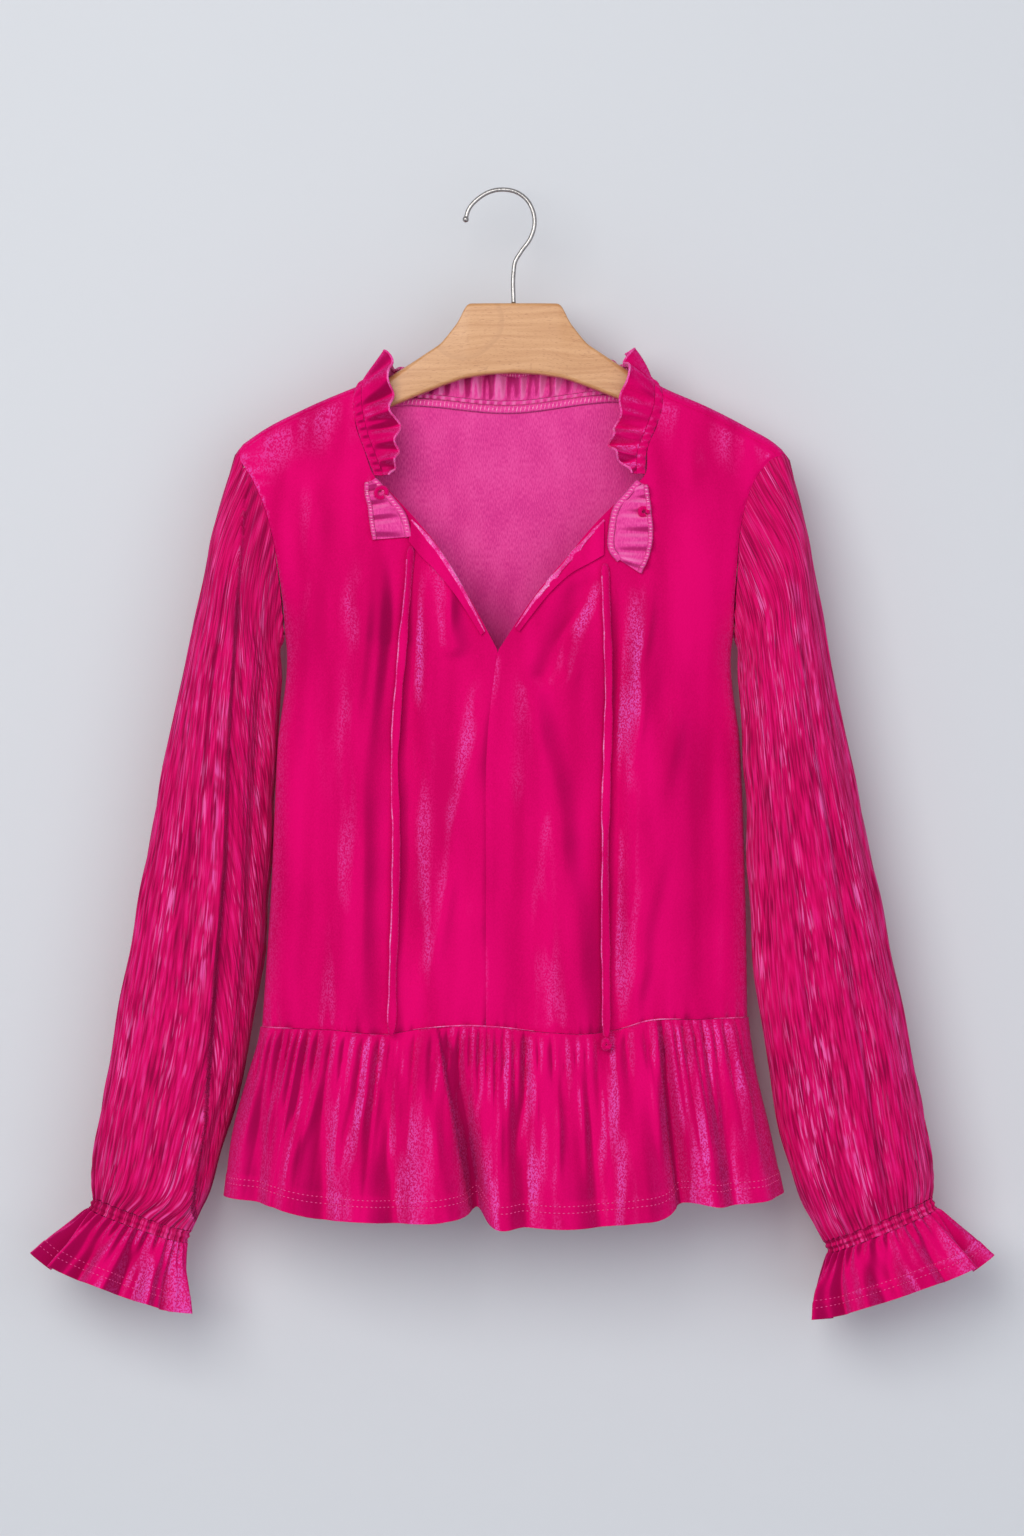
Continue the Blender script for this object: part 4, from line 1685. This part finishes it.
def yoke_outline():
    """x along the yoke, distance from its middle, and z of its top and bottom edges."""
    outer = YOKE["half"][-1]
    middle, arm = np.linspace(0, outer, YOKE_POINTS[0]), np.linspace(outer, ARM_END, YOKE_POINTS[1])
    half = np.concatenate([middle, arm[1:]])
    half = np.concatenate([-half[:0:-1], half])
    x, width = HANGER_X + half, np.abs(half)
    top = np.where(width <= outer, np.interp(width, YOKE["half"], YOKE["top"]), ridge(x) - HANGER_DROP)
    taper = ARM_TALL - 5 * (width - outer) / (ARM_END - outer)
    low = np.where(width <= outer, np.interp(width, YOKE["half"], YOKE["bottom"]), top - taper)
    kernel = np.hanning(9)[1:-1] / np.hanning(9)[1:-1].sum()
    top, low = (np.convolve(np.pad(edge, 3, mode="edge"), kernel, mode="valid") for edge in (top, low))
    return x, width, top, low


def rounded_tips(rings):
    """Shrinking rings that close a bar at its two ends."""
    tips = []
    for end, way in ((rings[0], -1), (rings[-1], 1)):
        middle = end.mean(0)
        tips.append([middle + (end - middle) * k + np.array([way * step, 0, 0])
                     for k, step in YOKE_TIP])
    return np.concatenate([np.array(tips[0])[::-1], rings, np.array(tips[1])])


def hanger_board():
    """The beech yoke: an oval-edged section carried along its top and bottom outlines."""
    x, width, top, low = yoke_outline()
    on_arm = ease((width - 60) / (YOKE["half"][-1] - 60))
    thick, corner = HANGER_THICK / 2, YOKE_CORNER
    cap = (corner + (thick - corner) * on_arm)[:, None]
    up, down = np.radians(np.linspace(-90, 90, 19)), np.radians(np.linspace(90, -90, 19))
    y = np.concatenate([np.sign(np.sin(up)) * (thick - cap) + cap * np.sin(up),
                        np.broadcast_to(np.sign(np.sin(down)) * (thick - corner) + corner * np.sin(down),
                                        (len(x), len(down)))], 1)
    z = np.concatenate([top[:, None] - cap * (1 - np.cos(up)),
                        low[:, None] + corner * (1 - np.cos(down))[None, :]], 1)
    grid = rounded_tips(np.stack([np.broadcast_to(x[:, None], z.shape), y, z], -1))
    number = np.arange(grid.shape[0] * grid.shape[1]).reshape(grid.shape[:2])
    quads = grid_quads(closed(number))
    made = new_piece("beech_yoke", grid.reshape(-1, 3), quads, np.zeros((len(quads), 4, 2)),
                     np.zeros(len(quads)), (finish("beech"),))
    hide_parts("hanger")
    return made


def wire_hook():
    """The hook: round wire along its centre line, with a ball tip."""
    line = np.stack([HOOK_LINE["x"], 0 * HOOK_LINE["x"], HOOK_LINE["z"]], -1)
    along = run_of(line)
    at = np.concatenate([np.linspace(0, 6, 14), np.linspace(7, along[-1], 150)])
    ball = BALL_RADIUS * np.sqrt(np.maximum(1 - ((at - BALL_RADIUS) / BALL_RADIUS) ** 2, 0.01))
    radius = np.where(at < BALL_RADIUS, ball, np.maximum(ball, WIRE_RADIUS))
    points = smooth(along, line, at)
    made = tube("hook_wire", points, radius, radius, AWAY, finish("steel"), sides=20)
    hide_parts("hook")
    return made


# Properties, operators and the panel

class ClothSettings(bpy.types.PropertyGroup):
    """Sizes and finish of the cloth."""

    wall: FloatProperty(name="Cloth thickness", description="Thickness of the velvet with its pile",
                        default=1.2 * MM, unit="LENGTH")
    ruffle: FloatProperty(name="Ruffle height", description="How far the neck ruffle's waves stand out",
                          default=4.2 * MM, unit="LENGTH")
    gather: FloatProperty(name="Gathers", description="Depth of the peplum's gathers, 1 as sewn",
                          default=1.0, min=0.0, max=2.0)
    tie_width: FloatProperty(name="Tie width", description="Width of the flat rouleau ties",
                             default=6.0 * MM, unit="LENGTH")
    sheen: FloatProperty(name="Velvet sheen", description="Strength of the pile's sheen",
                         default=0.12, subtype="FACTOR", min=0.0, max=1.0)
    sheen_tint: FloatVectorProperty(name="Sheen tint", description="Colour of the pile's sheen",
                                    subtype="COLOR", default=linear("#E65BC0")[:3], min=0.0, max=1.0)


class StageSettings(bpy.types.PropertyGroup):
    """Camera, lights and backdrop."""

    lens: FloatProperty(name="Lens", description="Focal length of the camera in millimetres", default=100.0)
    frame_tall: FloatProperty(name="Frame height", description="Height that the photograph takes in",
                              default=1090.6 * MM, unit="LENGTH")
    centre: FloatVectorProperty(name="Aim", description="Point in the middle of the photograph",
                                subtype="TRANSLATION", default=(6.4 * MM, -30 * MM, -413.2 * MM))
    backdrop: FloatVectorProperty(name="Backdrop", description="Colour of the wall and floor",
                                  subtype="COLOR", default=linear("#D0D3D7")[:3], min=0.0, max=1.0)


def add_camera(scene, settings):
    """A camera straight in front that takes in the photograph's height."""
    camera = bpy.data.objects.new("camera", bpy.data.cameras.new("camera"))
    camera.data.lens = settings.lens
    camera.data.clip_end = 60.0
    distance = settings.frame_tall * settings.lens / camera.data.sensor_width
    camera.location = Vector(settings.centre) + Vector((0, -distance, 0))
    camera.rotation_euler = (math.radians(90), 0, 0)
    scene.collection.objects.link(camera)
    scene.camera = camera


def add_lamps(scene, aim):
    """The soft lamps, each turned to the middle of the photograph."""
    for name, place, size, power, colour in LAMPS:
        data = bpy.data.lights.new(name, "AREA")
        data.size, data.energy, data.color = size, power, linear(colour)[:3]
        lamp = bpy.data.objects.new(name, data)
        lamp.location = place
        lamp.rotation_euler = (aim - Vector(place)).to_track_quat("-Z", "Y").to_euler()
        scene.collection.objects.link(lamp)


def add_backdrop(scene, colour):
    """A wall that curves into the floor."""
    turn = np.linspace(0, np.pi / 2, 24)
    bend = np.stack([WALL_Y - BEND_RADIUS * (1 - np.sin(turn)),
                     FLOOR_Z + BEND_RADIUS * (1 - np.cos(turn))], -1)
    profile = np.vstack([[FLOOR_FRONT, FLOOR_Z], bend, [WALL_Y, WALL_TOP]])
    x = np.array([-STAGE_HALF_WIDE, STAGE_HALF_WIDE])
    grid = np.stack(np.broadcast_arrays(x[None, :], profile[:, :1], profile[:, 1:]), -1)
    mesh = bpy.data.meshes.new("backdrop")
    number = np.arange(grid.shape[0] * 2).reshape(-1, 2)
    mesh.from_pydata(grid.reshape(-1, 3).tolist(), [], grid_quads(number).tolist())
    mesh.shade_smooth()
    mesh.materials.append(one_sided_paint("matt_emulsion", colour))
    backdrop = bpy.data.objects.new("backdrop", mesh)
    backdrop.visible_shadow = False
    scene.collection.objects.link(backdrop)


def add_world(scene):
    """An even pale surround."""
    world = bpy.data.worlds.new("studio")
    world.use_nodes = True
    ground = world.node_tree.nodes["Background"]
    ground.inputs["Color"].default_value = linear(WORLD_COLOUR)
    ground.inputs["Strength"].default_value = WORLD_STRENGTH
    scene.world = world


class BLOUSE_OT_stage(bpy.types.Operator):
    """Add the camera, the lights and a pale wall that curves into the floor"""

    bl_idname = "blouse.stage"
    bl_label = "Stage"

    def execute(self, context):
        settings = context.scene.blouse_stage
        add_camera(context.scene, settings)
        add_lamps(context.scene, Vector(settings.centre))
        add_backdrop(context.scene, settings.backdrop)
        add_world(context.scene)
        context.scene.view_settings.view_transform = "Standard"
        return {"FINISHED"}


class BLOUSE_OT_hanger(bpy.types.Operator):
    """Add the beech yoke and its steel hook"""

    bl_idname = "blouse.hanger"
    bl_label = "Hanger and hook"

    def execute(self, context):
        hanger_board()
        wire_hook()
        return {"FINISHED"}


class BLOUSE_OT_ties(bpy.types.Operator):
    """Add the two flat ties and the knot"""

    bl_idname = "blouse.ties"
    bl_label = "Neck ties"

    def execute(self, context):
        settings = context.scene.blouse_cloth
        width = settings.tie_width / MM
        left, left_line, left_edge = tie("left", width, TIE_THICK)
        right, right_line, right_edge = tie("right", width, TIE_THICK)
        knot = tie_knot(right_line[-1])
        return {"FINISHED"}


class BLOUSE_OT_body(bpy.types.Operator):
    """Add the two front panels, the back panel and the facings of the slit"""

    bl_idname = "blouse.body"
    bl_label = "Body panels"

    def execute(self, context):
        thick = context.scene.blouse_cloth.wall / MM
        for hand in ("left", "right"):
            panel = front_panel(hand, thick)
            strip = facing(hand, thick * 0.8)
        panel = back_panel(thick)
        return {"FINISHED"}


class BLOUSE_OT_neck(bpy.types.Operator):
    """Add the neck casing, the ruffle on it and its two turned-out ends"""

    bl_idname = "blouse.neck"
    bl_label = "Neck ruffle"

    def execute(self, context):
        settings = context.scene.blouse_cloth
        thick = settings.wall / MM
        seam = neck_frame()
        band = neck_casing(seam, thick)
        ruffle, outer = neck_ruffle(seam, thick, settings.ruffle / MM)
        neck_edges(seam, outer, thick)
        for hand in ("left", "right"):
            strip = frill_end(hand, thick * 0.8)
        return {"FINISHED"}


class BLOUSE_OT_peplum(bpy.types.Operator):
    """Add the gathered front and back skirt pieces with their hem stitching"""

    bl_idname = "blouse.peplum"
    bl_label = "Peplum"

    def execute(self, context):
        settings = context.scene.blouse_cloth
        thick = settings.wall / MM
        for name, side, rows in (("peplum_front", -1, PEPLUM_FOLDS), ("peplum_back", 1, PEPLUM_BACK_FOLDS)):
            skirt = peplum(name, side, rows, thick, settings.gather)
        return {"FINISHED"}


class BLOUSE_OT_sleeves(bpy.types.Operator):
    """Add the two crinkled sleeves with their elastic wrists and flared cuffs"""

    bl_idname = "blouse.sleeves"
    bl_label = "Sleeves and cuffs"

    def execute(self, context):
        thick = context.scene.blouse_cloth.wall / MM
        for hand in ("left", "right"):
            tube_piece = sleeve(hand, thick)
            band, ruffle = cuff_pieces(hand, thick)
        return {"FINISHED"}


class BLOUSE_PT_panel(bpy.types.Panel):
    """The blouse's pieces and sizes in the sidebar"""

    bl_label = "Velvet peplum blouse"
    bl_idname = "BLOUSE_PT_panel"
    bl_space_type = "VIEW_3D"
    bl_region_type = "UI"
    bl_category = "Blouse"

    def draw(self, context):
        for operator in OPERATORS:
            self.layout.operator(operator.bl_idname)
        for group, names in SHOWN.items():
            for name in names:
                self.layout.prop(getattr(context.scene, group), name)


SHOWN = {
    "blouse_cloth": ("wall", "ruffle", "gather", "tie_width", "sheen", "sheen_tint"),
    "blouse_stage": ("lens", "frame_tall", "centre", "backdrop"),
}
OPERATORS = (BLOUSE_OT_stage, BLOUSE_OT_ties, BLOUSE_OT_hanger, BLOUSE_OT_body, BLOUSE_OT_neck,
             BLOUSE_OT_peplum, BLOUSE_OT_sleeves)
CLASSES = (ClothSettings, StageSettings, *OPERATORS, BLOUSE_PT_panel)


def register():
    """Add the classes and the two groups of settings."""
    for cls in CLASSES:
        bpy.utils.register_class(cls)
    bpy.types.Scene.blouse_cloth = PointerProperty(type=ClothSettings)
    bpy.types.Scene.blouse_stage = PointerProperty(type=StageSettings)


def unregister():
    """Take them away again."""
    del bpy.types.Scene.blouse_stage
    del bpy.types.Scene.blouse_cloth
    for cls in reversed(CLASSES):
        bpy.utils.unregister_class(cls)


def main():
    """Build every piece in order."""
    register()
    bpy.ops.blouse.stage()
    bpy.ops.blouse.ties()
    bpy.ops.blouse.hanger()
    bpy.ops.blouse.body()
    bpy.ops.blouse.neck()
    bpy.ops.blouse.peplum()
    bpy.ops.blouse.sleeves()


if __name__ == "__main__":
    main()
